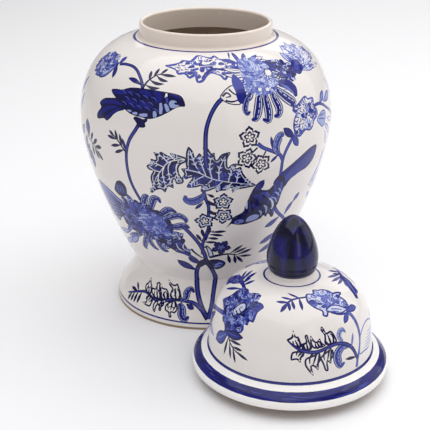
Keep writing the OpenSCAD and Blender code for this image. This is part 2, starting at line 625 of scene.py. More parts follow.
def leaves(spot, width, tones, ends, bend=0.0):
    """Leaves of one width. ends are (base x, base y, tip x, tip y)."""
    for x0, y0, x1, y1 in ends:
        leaf(spot, (x0, y0), (x1, y1), width, tones, bend)


def hooked_petal(spot, line, width, tones=("ink", "cobalt", "pale")):
    """A long petal drawn along a line with its tip curled over: dark edge, light line, dark body."""
    edge, body, light = tones
    spot.brush(line, edge, width * 1.25, (0.45, 0.85, 1, 0.95, 0.7, 0.2))
    spot.brush(line, light, width * 0.95, (0.3, 0.85, 1, 1, 0.7, 0.15))
    spot.brush(line, body, width * 0.7, (0.3, 0.85, 1, 1, 0.75, 0.3))
    curve = smooth(line)
    count = len(curve)
    along = np.gradient(curve, axis=0)
    along /= np.maximum(np.hypot(*along.T), 1e-9)[:, None]
    across = np.column_stack([-along[:, 1], along[:, 0]]) * width
    for k in range(3, int(count * 0.75), 3):
        spot.brush(curve[k:k + 3] + across[k:k + 3] * 0.12, light, width * 0.13, (1, 0.6), 2)
        spot.brush(curve[k:k + 3] - across[k:k + 3] * 0.16, edge, width * 0.16, (1, 0.6), 2)


def curls(spot, outline, spacing, size, tones, seed, edge=0):
    """Fills an outline, short of its edge, with small curled strokes that turn about its middle."""
    outline = inset(smooth(outline, closed=True, steps=2), edge)
    choose = random.Random(seed)
    middle = outline.mean(axis=0)
    low = outline.min(axis=0)
    high = outline.max(axis=0)
    rows = int((high[1] - low[1]) / spacing)
    columns = int((high[0] - low[0]) / spacing)
    for row in range(rows + 1):
        for column in range(columns + 1):
            x = low[0] + spacing * (column + 0.5 * (row % 2) + choose.uniform(-0.3, 0.3))
            y = low[1] + spacing * (row + choose.uniform(-0.3, 0.3))
            if not inside(np.array([(x, y)]), outline)[0]:
                continue
            heading = math.degrees(math.atan2(y - middle[1], x - middle[0])) + choose.uniform(-55, 55)
            child = spot.at(x, y, heading, size * choose.uniform(0.8, 1.2))
            first, second = choose.sample(tones, 2)
            child.soft([(-1.1, -0.6), (0.3, -0.9), (1.2, -0.1), (0.5, 0.9), (-0.9, 0.6)], first, 2)
            child.brush([(-0.9, -0.2), (0.2, 0.35), (0.8, -0.4)], second, 0.55, (0.5, 1, 0.4), 2)


def blossom(spot, x, y, radius, turn=0, tones=("ink", "white", "ink", "white")):
    """A small blossom of five pointed petals: two dark outlines with white between them."""
    child = spot.at(x, y, turn)
    for tone, size in zip(tones, (1, 0.75, 0.56, 0.36)):
        star = []
        for k in range(5):
            for bend, reach in ((0, 1.16), (12, 0.98), (26, 0.92), (36, 0.68), (46, 0.92), (60, 0.98)):
                angle = math.radians(72 * k + bend)
                length = radius * size * reach
                star.append((length * math.cos(angle), length * math.sin(angle)))
        child.soft(star, tone, 2)
    for k in range(5):
        ray = child.at(0, 0, 72 * k + 36)
        ray.brush([(1.2, 0), (radius * 0.34, 0)], tones[2], radius * 0.13, (1, 1), 2)


def veins(spot, tone, width, lines, press=(1, 0.9, 0.5)):
    """Thin lines of one tone and one width."""
    for line in lines:
        spot.brush(line, tone, width, press)


def outlined(spot, outline, edge, body, depth):
    """A soft shape with a thin edge round a body of another tone."""
    spot.soft(outline, edge)
    spot.soft(inset(smooth(outline, closed=True, steps=2), depth)[::2], body)


def jagged(spot, outline, tones=("ink", "white", "cobalt"), depths=(1.1, 2.3)):
    """A jagged shape with a dark edge, a light line inside it and a filled middle."""
    outer = smooth(outline, closed=True, steps=3)
    spot.fill(outer, tones[0])
    spot.fill(inset(outer, depths[0]), tones[1])
    if tones[2]:
        spot.fill(inset(outer, depths[1]), tones[2])


def lobes(spot, outlines):
    """The knobbly outlined lobes of an acanthus sprig, with dark strokes in them."""
    for outline in outlines:
        outer = smooth(outline, closed=True, steps=3)
        spot.fill(outer, "ink")
        spot.fill(inset(outer, 1.8), "white")
        middle = outer.mean(axis=0)
        base = (np.array(outline[0], float) + np.array(outline[-1], float)) / 2
        side = np.array([-(middle - base)[1], (middle - base)[0]]) * 0.22
        for place in (side * 1.3, side * 0, side * -1.3):
            spot.brush([base + place, base * 0.5 + middle * 0.5 + place * 1.6, middle + place], "ink", 2.1,
                       (1, 0.9, 0.4), 3)


def feathered(spot, tone, width, reach, lines):
    """Veins with short side strokes, which break a leaf up into teeth."""
    for line in lines:
        curve = smooth(line, steps=3)
        for k in range(1, len(curve) - 1, 2):
            along = curve[k + 1] - curve[k]
            along = along / max(math.hypot(*along), 1e-9)
            across = np.array([-along[1], along[0]])
            for side in (-1, 1):
                tip = curve[k] + (along * 0.8 + across * side) * reach
                spot.brush([curve[k], (curve[k] + tip) / 2 + along * 0.4, tip], tone, width, (1, 0.9, 0.4),
                    2)


# ---------------------------------------------------------------- birds

def perched_bird(spot):
    """A long-tailed bird that looks to the right, with a striped breast."""
    tail = [(-30, -15), (-36, -19), (-41, -24), (-46, -27.5), (-50.5, -26), (-56, -27.5), (-61, -28.8),
        (-63.5, -27), (-62.5, -22.5), (-57, -16.5), (-60, -13.5), (-59, -10.5), (-52, -6.2), (-42, -4),
        (-30, -2), (-20, -4), (-22, -11.5)]
    body = [(-44.5, 4), (-37, 6), (-30, 6.5), (-24, 9), (-18, 10.8), (-8, 11.8), (4, 12), (14, 11.5),
        (22, 11), (29, 10.2), (35, 8.5), (39, 4.5), (41.5, -1.5), (36, -2.2), (31, -5), (25, -9), (18, -13),
        (11, -15.8), (5, -16.8), (-2, -16), (-10, -15.5), (-17, -13.8), (-22, -11.5), (-32, -8), (-36, -3),
        (-42, 0.5)]
    spot.soft(tail, "ink")
    spot.soft(body, "ink")
    strokes = (([(-58, -12), (-48, -9), (-36, -7), (-26, -8)], 3.6),
        ([(-61, -25), (-54, -19.5), (-44, -14), (-33, -11)], 4.2),
        ([(-47, -25), (-41, -20), (-34, -15), (-27, -11)], 3),
        ([(-42, 3), (-34, 3), (-24, 5), (-14, 7)], 4), ([(7, 9.5), (12, 8), (15, 4), (12, 0)], 5.5),
        ([(-8, 8.5), (0, 8), (6, 5)], 4.5), ([(24, 8.5), (30, 7.5), (36, 5.5)], 2),
        ([(-6, -2), (2, -4), (9, -6)], 5), ([(-22, -2), (-12, -5), (-4, -8)], 5))
    for line, width in strokes:
        spot.brush(line, "cobalt", width, (0.5, 1, 1, 0.4))
    for k in range(9):
        x = -31 + 4.6 * k
        for j in range(3):
            y = 6.5 - 5.4 * j - 0.25 * k
            spot.brush([(x + 2 * j, y), (x + 4 + 2 * j, y - 0.6), (x + 6.5 + 2 * j, y - 3)],
                ("mid", "ink")[(k + j) % 2], 1.5, (0.4, 1, 0.4), 3)
    marks = ((20.4, 9.8, 20.8, 5.5, 2.6, "white"), (21, 6.5, 23.5, 0.5, 2.4, "mid"),
        (21.5, -0.5, 25.8, -7.5, 3.8, "wash"), (16.8, 0, 18.8, -10.5, 3.6, "wash"),
        (11.6, -8.5, 13, -14.4, 4.2, "wash"), (-4, -14.2, 5, -13, 3.4, "wash"),
        (-12, -13.4, -6.4, -13, 2.8, "wash"), (-18.5, -11.8, -13.6, -11.9, 2, "wash"),
        (-4, -16.8, -0.6, -18, 1.6, "wash"))
    for x, y, x1, y1, width, tone in marks:
        spot.brush([(x, y), ((x + x1) / 2 + 0.4, (y + y1) / 2), (x1, y1)], tone, width, (0.6, 1, 0.8))
    spot.soft([(25.2, 0.5), (27, 3.4), (31, 3.2), (33.5, 1), (35.4, -1.4), (31.5, -3.6), (27.5, -3.4)],
        "wash")
    spot.soft([(30.4, 1.2), (33, 1.6), (36, -0.2), (33, -0.6), (31, -0.2)], "ink")
    claws = [(-10.5, -18), (-7, -16), (0, -17.5), (5, -16.5), (5.5, -19), (3.2, -21), (4, -24.5), (0, -26),
        (-4, -25.5), (-7, -21.5)]
    spot.soft(claws, "ink")


def diving_bird(spot):
    """A bird that dives down to the left, seen with its wings folded."""
    tail = [(24, 26), (31, 36), (45, 44), (60, 51), (72, 55.5), (84, 56), (86.5, 51), (83, 41), (72, 33.5),
        (58, 31), (46, 26), (38, 18)]
    outlined(spot, tail, "ink", "cobalt", 1.6)
    for k in range(6):
        spot.brush([(34, 29 - 1.1 * k), (54, 41 - 2.2 * k), (82 - 0.6 * k, 52 - 2.1 * k)], "mid", 1.2,
            (1, 1, 0.4))
    body = [(-20.5, -23), (-17, -15), (-15, -9), (-8, -5), (-5, -2), (-4.5, 5), (-2, 13), (0, 20), (4, 27),
        (12, 21.5), (20, 20.5), (26, 27), (31, 34), (38, 31), (40, 22), (37, 12), (35, 0), (31.5, -8),
        (32, -16), (29, -18), (26, -13.5), (23.5, -12), (22, -15.5), (18.5, -12.5), (16, -16), (8, -18.5),
        (-2, -20.5), (-10, -19.8), (-16, -18)]
    spot.soft(body, "ink")
    strokes = (([(28, 30), (30, 20), (27, 10), (20, 4)], 9, "cobalt"),
        ([(35, 26), (35, 14), (32, 2)], 5, "mid"), ([(3, 16), (10, 13), (13, 6)], 6.5, "cobalt"),
        ([(12, 18), (18, 15), (22, 10)], 5, "mid"), ([(4, 4), (9, 0), (14, -3)], 4.5, "cobalt"),
        ([(-1, 8), (1, 3), (0, -3)], 2.4, "cobalt"), ([(26, 26), (28, 16), (24, 10)], 1.6, "mid"))
    for line, width, tone in strokes:
        spot.brush(line, tone, width, (0.6, 1, 0.6))
    strokes = (([(-3, 9.5), (-3.2, 5), (-2, 0)], 2.6, "pale"),
        ([(12, -5), (15, -7.5), (15.4, -12)], 2.4, "wash"),
        ([(17, 1), (20.5, -3), (21.4, -10)], 2.8, "wash"),
        ([(22, 9), (26.5, 4), (28.5, -3), (27, -6.5)], 2.8, "pale"),
        ([(24, 9.5), (29.5, 7), (32.5, 1)], 2, "wash"), ([(28.5, 15), (32, 12.5), (34.5, 9)], 2.4, "wash"),
        ([(32, 19), (34, 17), (35.5, 14)], 2, "wash"), ([(24, -6), (25, -9), (24.6, -12)], 1.6, "mid"),
        ([(29.5, -4), (30, -9), (30, -14)], 1.8, "mid"))
    for line, width, tone in strokes:
        spot.brush(line, tone, width, (0.5, 1, 0.5))
    spot.soft([(-0.5, -14), (3, -10), (9, -9.2), (13.6, -12), (11, -15.8), (4, -17.4), (0, -17.4)], "wash")
    spot.soft([(-13, -15.4), (-8.5, -13), (-4, -14), (-3, -17), (-8, -18.6), (-12, -18)], "soft")
    spot.soft([(-11, -15.5), (-9, -14.6), (-8.6, -16.4), (-10.4, -17)], "ink")
    leaf(spot, (3, 19), (13, 33.5), 9, DARK)


# ---------------------------------------------------------------- the painting of the jar

def upper_left(wall):
    """The bird's perch, the arching stem over it and the sprigs at the left."""
    spot = Spot(wall, -28, 219)
    spot.stem([(-5, 9), (-8, 16.5), (-13, 23), (-20, 29.5), (-28, 32.8), (-38, 33), (-47, 31)], 3.6)
    spot.brush([(-6, 10), (-4, 17), (-1, 22), (4, 27), (9, 30)], "ink", 1.9, (1.3, 1, 0.6))
    blades(spot, "ink", 3.5, [(-1.5, 21, -3, 32), (2, 25, 4.2, 36), (8, 29, 13, 36.5), (7, 29, 24.5, 28)])
    for base, tip in (((5, 27), (18.8, 22)), ((-1, 22), (16, 19)), ((-3.5, 16), (13, 14.5))):
        spot.blade(base, tip, 3.4, "ink", -0.22)
    leaf(spot, (-8, 14.5), (-26.5, 19.5), 5, DARK, -0.12)
    flower = Spot(wall, -54, 249)
    petals = ((158, 30, 9), (172, 38, 10), (186, 44, 10), (199, 44, 10), (212, 38, 10), (226, 28, 9))
    for turn, reach, width in petals:
        for tone, size, cut in (("cobalt", 1, 0), ("soft", 0.66, 2), ("pale", 0.2, 5)):
            petal = flower.at(0, 0, turn)
            petal.blade((cut, 0), (reach - cut, 0), width * size, tone, 0.1)
    for k in range(14):
        spot_x = -8 - 2.2 * k
        flower.brush([(spot_x, 8 - 0.9 * k), (spot_x - 2.5, 0.8 - 0.7 * k), (spot_x - 0.5, -6 - 0.9 * k)],
            ("cobalt", "mid")[k % 2], 1.1, (0.3, 1, 0.3), 3)
    curls(flower, [(-4, 5), (-16, 9), (-30, 9), (-40, 2), (-43, -8), (-38, -17), (-26, -20), (-12, -14)], 4,
        2.5, ("cobalt", "mid", "pale", "mid", "soft"), 21)
    leaf(spot, (-49, 31), (-42.5, 42), 5.5, BLUE)
    leaf(spot, (-51, 31), (-49, 14.5), 6.5, DARK, 0.1)
    low = Spot(wall, -34, 170)
    low.stem([(12, 29), (7, 20), (0, 9), (-4.5, -4), (-6, -20), (-5, -36), (-1, -50), (5, -64)], 4.2)
    low.brush([(-5, -6), (-12, 2), (-19, 8), (-26, 11)], "ink", 1.7, (1.3, 1, 0.6))
    blades(low, "ink", 3.6, [(-10, 0, -13, 12.5), (-15, 4, -19.5, 15.5), (-20, 8, -28, 13),
        (-17, 6, -31, 7), (-12, 1, -26, -2.5), (-8, -3, -21, -9)])
    leaf(low, (-5, -4), (-9.5, 9), 4, DARK)
    edge = Spot(wall, -62, 160)
    edge.brush([(-10, 6), (0, 2), (10, -3), (18, -9)], "ink", 1.6, (0.8, 1, 0.6))
    blades(edge, "ink", 4.6, [(0, 3, 7, 13), (5, 0, 15, 8), (9, -2, 22, 1), (2, 0, 3, -14),
        (7, -3, 13, -15), (12, -6, 21, -14)])
    leaf(edge, (-4, 6), (-8, 24), 12, ("ink", "mid", None))
    leaves(edge, 10, INKED_RIBBED, ((-12, 4, -22, -14), (-8, -4, -16, -24), (-4, -10, -8, -32),
        (-18, 14, -30, 2)))
    leaf(Spot(wall, -76, 212), (0, 10), (-16, -12), 9, ("mid", "soft", None))
    leaf(Spot(wall, -74, 206), (0, 0), (-8, -20), 7, FAINT)


def lower_left(wall):
    """The lower chrysanthemum with its striped bract."""
    spot = Spot(wall, -34, 84)
    bract = [(-24, 16), (-32, 20.5), (-44, 26), (-60, 29.5), (-72, 28), (-68, 10), (-60, -6), (-48, -18),
        (-38, -9), (-27, -1)]
    outlined(spot, bract, "ink", "soft", 1.6)
    for k in range(7):
        spot.brush([(-26, 12 - 1.6 * k), (-42, 17 - 4.2 * k), (-66, 24 - 6.4 * k)],
            ("ink", "cobalt")[k % 2], (2.6, 3.4)[k % 2], (0.8, 1, 0.3))
    leaves(spot, 8, FAINT, ((-12, -22, -36, -34), (-16, -26, -40, -46), (-28, -24, -58, -34),
        (-30, -34, -56, -54)), 0.1)
    bud = [(-34, 30), (-31, 36), (-27, 42), (-20, 45), (-14, 40), (-14, 32), (-18, 26), (-26, 24),
        (-31, 26)]
    spot.soft(bud, "ink")
    for k in range(7):
        spot.brush([(-29 + 2.1 * k, 27 + 0.4 * k), (-30 + 2.2 * k, 33), (-27 + 1.5 * k, 39)],
            ("mid", "soft")[k % 2], 1.1, (0.5, 1, 0.4), 3)
    petals = (([(-6, 14), (-12, 24), (-16, 30)], 7), ([(-12, 12), (-20, 20), (-26, 23)], 7),
        ([(-4, -20), (-9, -33), (-13, -42), (-11, -46)], 6.5), ([(-8, -18), (-18, -26), (-30, -31)], 6.5),
        ([(-14, -14), (-26, -18), (-34, -26)], 6.5), ([(0, -20), (-2, -30), (1, -38), (6, -41)], 6.5),
        ([(8, -22), (10, -32), (13, -39), (18, -40)], 7), ([(2, 13), (6, 25), (10, 33), (14, 35)], 7.5),
        ([(10, 12), (15, 24), (19, 32), (24, 33), (26, 28)], 7.5),
        ([(18, 8), (27, 16), (34, 21), (41, 18.5)], 8), ([(24, 5), (35, 12), (43, 14), (48, 10), (47.5, 5)],
        7.5), ([(24, -2), (35, -2), (45, 1.5), (50, -2)], 8))
    for line, width in petals:
        hooked_petal(spot, line, width * 0.9, DARK_RIBBED)
    mass = [(6, -20), (16, -18), (26, -12), (34, -8), (41, -12), (38, -20), (40, -30), (41, -38), (34, -40),
        (27, -39), (22, -35), (14, -34), (10, -27)]
    spot.soft(mass, "ink")
    spot.soft([(14, -24), (22, -21), (32, -20), (34, -26), (26, -31), (18, -31)], "cobalt")
    curls(spot, mass, 4.6, 2.8, ("ink", "cobalt", "wash", "ink", "mid"), 17)
    veins(spot, "pale", 1.6, ([(25, -10), (29, -15), (33, -13)], [(30, -26), (31, -34), (36, -37)],
        [(38, -26), (36, -31), (38, -35)], [(34, -14), (36, -18), (34, -19)]), (0.5, 1, 0.5))
    heart = [(-26, 2), (-22, 12), (-12, 19), (0, 19), (12, 15), (22, 9), (27, 0), (24, -10), (16, -18),
        (4, -21), (-10, -19), (-22, -14), (-28, -6)]
    skirt = smooth(heart, closed=True, steps=2) * 1.22
    curls(spot, skirt[::2], 4.2, 3.4, ("ink", "cobalt", "ink", "wash", "mid"), 15)
    spot.soft(heart, "cobalt")
    curls(spot, heart, 3.3, 2.5, ("ink", "mid", "soft", "cobalt", "mid"), 4)
    curls(spot, [(0, 12), (14, 12), (24, 4), (24, -8), (12, -17), (0, -12), (-4, 0)], 3.4, 2.3,
        ("mid", "soft", "mid", "wash"), 7)
    veins(spot, "pale", 1.2, ([(-14, 4), (-8, 0), (-2, 3), (4, 4)], [(-10, -4), (-4, -2), (-2, -6)],
        [(-2, 8), (4, 8), (8, 10)]), (0.4, 1, 0.4))


def upper_middle(wall):
    """The jagged leaf and the upper chrysanthemum."""
    spot = Spot(wall, 28, 240)
    plume = [(-89, 19), (-80, 21.5), (-72, 24.5), (-67, 28.5), (-60, 28), (-54, 33), (-48, 38), (-42, 35.5),
        (-37, 34), (-32.5, 37.5), (-30, 31), (-22, 30), (-16, 22), (-20, 13), (-28, 12), (-36, 4), (-39, 9),
        (-46, 12.5), (-52, 9), (-58, 3), (-63.5, 2), (-63, 9), (-70, 6), (-72, 11), (-79.5, 10), (-80, 15)]
    jagged(spot, plume, ("mid", "white", None), (1.7, 2))
    curls(spot, plume, 4.4, 2.7, ("mid", "white", "mid", "cobalt", "soft", "white"), 14, 1.5)
    spot.brush(plume + plume[:1], "mid", 1.7, (1, 1), 3)
    spot.brush([(-58, 6), (-50, 13), (-42, 17.5), (-34, 16), (-28, 19)], "cobalt", 2.6, (0.4, 1, 1, 0.5))
    spot.brush([(-80, 17), (-64, 17.5), (-50, 21), (-30, 22)], "white", 0.9, (1, 1, 0.5))
    calyx = [(-46.5, -13.5), (-43, -9), (-38, -5), (-31, -2), (-26, -10), (-27, -21), (-36, -21.5),
        (-43, -18.5)]
    jagged(spot, calyx, ("ink", "white", None), (1.1, 2))
    veins(spot, "ink", 1.9, ([(-44, -13), (-39, -9.5), (-36, -13), (-41, -14)],
        [(-42, -17), (-36, -18.5), (-28, -17)], [(-36, -6), (-33, -10), (-29, -13)]))
    wide_leaves = ((-14, 20, -12.5, 43, 4.6), (-10, 22, -2, 39, 4.6), (-5, 24, 10.5, 33, 4.2),
        (-21, 30, -15.5, 44, 1.8), (-18, 24, -30, 30, 4.4))
    for x0, y0, x1, y1, width in wide_leaves:
        leaf(spot, (x0, y0), (x1, y1), width, BLUE)
    leaves(spot, 6.4, ("cobalt", "white", "mid"), ((2, 24, 15, 28), (6, 20, 17, 22), (-12, 13, -34, 17.5),
        (-12, 8, -36, 10), (-14, 3, -31, -3), (-15, -3, -27, -11), (-12, -8, -24, -20)), 0.12)
    dark = [(-31, -2), (-29.5, 5), (-26, 10), (-23, 6), (-20.5, 0), (-20.5, -10), (-20.5, -17), (-24, -21),
        (-29, -20), (-30, -10)]
    spot.soft(dark, "mid")
    spot.soft([(-29, -8), (-21, -7), (-20.5, -17), (-24, -21), (-29, -20), (-30.5, -14)], "cobalt")
    hooked_petal(spot, [(-15, -11), (-21, -18), (-24.5, -26), (-23, -31), (-19.5, -29)], 4.6, DARK_RIBBED)
    cluster = [(4, 20), (16, 22), (26, 20.5), (34, 16), (41, 10), (45, 2), (42, -5), (34, -8), (24, -7),
        (14, -4), (6, 4)]
    spot.soft(cluster, "mid")
    curls(spot, cluster, 3.8, 2.9, ("cobalt", "ink", "mid", "cobalt", "pale", "cobalt"), 12)
    veins(spot, "ink", 2.2, ([(14, 17), (24, 17), (34, 12)], [(22, 12), (30, 9), (34, 3)],
        [(36, 6), (41, 1), (38, -4)], [(18, 4), (24, -1), (32, -3)]), (0.4, 1, 0.4))
    spot.brush([(18, -6), (28, -9), (35, -16), (36.5, -23)], "cobalt", 11, (0.6, 1, 0.9, 0.3))
    for k in range(4):
        spot.brush([(19 + k, -7 - 2 * k), (27 + k, -11 - 1.6 * k), (34, -19 - k)], "soft", 1.2,
            (0.5, 1, 0.3))
    petals = (([(12, -10), (18, -17), (26, -24), (31, -28), (26.5, -30.5)], 9),
        ([(-7, -12), (-9, -20), (-12, -30), (-15, -36), (-19.5, -37.5)], 7.6),
        ([(-1, -13), (-1, -22), (-0.5, -32), (-2, -39.5), (-8, -38)], 7.8),
        ([(6, -12), (9, -21), (12, -30), (10, -36), (5, -37)], 7.8))
    for line, width in petals:
        hooked_petal(spot, line, width)
    heart = [(-12, 28), (-4, 30), (6, 26), (12, 18), (14, 6), (16, -4), (13, -12), (4, -15), (-7, -15),
        (-16, -10), (-19, 0), (-17, 12), (-14, 22)]
    spot.soft(heart, "soft")
    curls(spot, heart, 3.3, 2.4, ("mid", "wash", "soft", "pale", "soft"), 3)
    for x, y, size in ((10.5, 7, 2.7), (11, 2, 1.2), (-5, -9, 1.6), (3, -10, 1.5)):
        spot.at(x, y, 0, size).soft([(-1, -0.8), (0.9, -1), (1.1, 0.8), (-0.8, 1)], "white")
    for k in range(12):
        turn = math.radians(30 * k)
        inner = (10.5 + 4 * math.cos(turn), 7 + 4 * math.sin(turn))
        outer = (10.5 + 6.6 * math.cos(turn + 0.4), 7 + 6.6 * math.sin(turn + 0.4))
        spot.brush([inner, outer], "cobalt", 1.5, (1, 0.4), 3)
    low = Spot(wall, 2, 200)
    low.stem([(11, 25), (6, 20), (1, 12), (-3, 2), (-5, -8), (-5.6, -24)], 4.6)


def right_side(wall):
    """The budding branch, the scaly flower and the flower that turns away at the right."""
    spot = Spot(wall, 38, 190)
    wide_leaves = ((30, 58, 24, 78, 8), (33, 60, 36, 87, 9), (36, 60, 52, 88, 10), (38, 58, 62, 76, 10),
        (40, 57, 82, 68, 10), (40, 54, 86, 57, 9), (40, 52, 82, 46, 9), (38, 50, 66, 47, 7))
    for x0, y0, x1, y1, width in wide_leaves:
        leaf(spot, (x0, y0), (x1, y1), width, ("mid", "pale", "soft"), 0.05)
        start = ((x0 * 2 + x1) / 3, (y0 * 2 + y1) / 3 + 1.5)
        end = ((x0 + 3 * x1) / 4, (y0 + 3 * y1) / 4 + 1.2)
        spot.brush([start, end], "soft", 1.4, (1, 0.4), 3)
    spray = [(26, 60), (28, 76), (38, 86), (54, 84), (68, 76), (84, 66), (86, 56), (76, 45), (60, 46),
        (44, 50)]
    curls(spot, spray, 5, 2.8, ("mid", "pale", "white", "soft", "mid"), 27, 2)
    spot.soft([(24, 56), (28, 62), (36, 64), (42, 60), (41, 53), (36, 48), (30, 47), (25, 51)], "cobalt")
    spot.soft([(28, 56), (32, 60), (37, 59), (36, 53), (31, 52)], "mid")
    spot.stem([(-8, -56), (-8, -44), (-8, -33), (-5, -24), (0, -16), (4, -11)], 4.2, "cobalt", "mid")
    spot.stem([(-8, -33), (-13, -26), (-22, -21), (-32, -16), (-38, -11)], 4.2, "cobalt", "mid")
    leaf(spot, (6, -12), (-8.5, 0), 8.5, DARK, 0.05)
    leaf(spot, (4, -9), (11.5, -22.5), 8, BLUE, -0.05)
    hooked_petal(spot, [(-14, -26), (-17.5, -18), (-15, -10), (-11, -6.5), (-8, -8)], 8, INKED_RIBBED)
    blades(spot, "cobalt", 3.6, [(-21, -20, -23.5, -5.5), (-14, -26, -23, -33)])
    for x, y, turn in ((-46, -4, 20), (-49, -25, 70), (-33, -33, 40)):
        blossom(spot, x, y, 10, turn)
    spot.brush([(-38, -15), (-43, -19), (-46, -20)], "ink", 1.8, (1, 1, 0.8))
    spot.brush([(-29, -20), (-31, -24), (-32, -27)], "ink", 1.8, (1, 1, 0.8))
    bud = [(8, -11), (14, -12.5), (22, -8), (30, -10), (35, -7), (38, -2), (45, 2), (44, 8), (39, 11),
        (40, 20), (31, 21), (27, 24.5), (20, 22), (14, 19), (9, 17.5), (6, 14.5), (10, 11), (7, 6), (5, 0),
        (6, -7)]
    outlined(spot, bud, "mid", "wash", 1.2)
    curls(spot, bud, 4, 2.7, ("mid", "pale", "cobalt", "mid", "white"), 9, 1)
    spot.brush(bud + bud[:1], "mid", 1.7, (1, 1), 3)
    spot.stem([(40, 12), (50, 12), (60, 8.5), (72, 2), (84, -4), (98, -14)], 3.4, "cobalt", "mid")
    leaf(spot, (53, 12), (67, 21), 9, ("mid", "soft", "wash"))
    leaf(spot, (63, 11), (88, 15), 10, ("mid", "soft", "wash"))
    disc = [(43, -3.5), (50, 1.5), (58, 3.5), (65, 1), (66.5, -5), (62, -12), (56, -14), (50, -10)]
    outlined(spot, disc, "mid", "wash", 1.2)
    veins(spot, "mid", 1.4, ([(48, -3), (56, -5), (63, -7)], [(50, 0), (58, -1), (64, -1)]))
    leaves(spot, 6, ("soft", "pale", None), ((62, -12, 78, -22), (66, -14, 86, -30), (64, -20, 74, -38),
        (70, -8, 92, -16), (84, 30, 96, 10)))
    far = Spot(wall, 62, 120)
    leaves(far, 6, FAINT, ((-4, -10, 14, 14), (0, -12, 20, 4), (4, -16, 22, -8), (2, -20, 14, -30),
        (10, 10, 16, 30)))


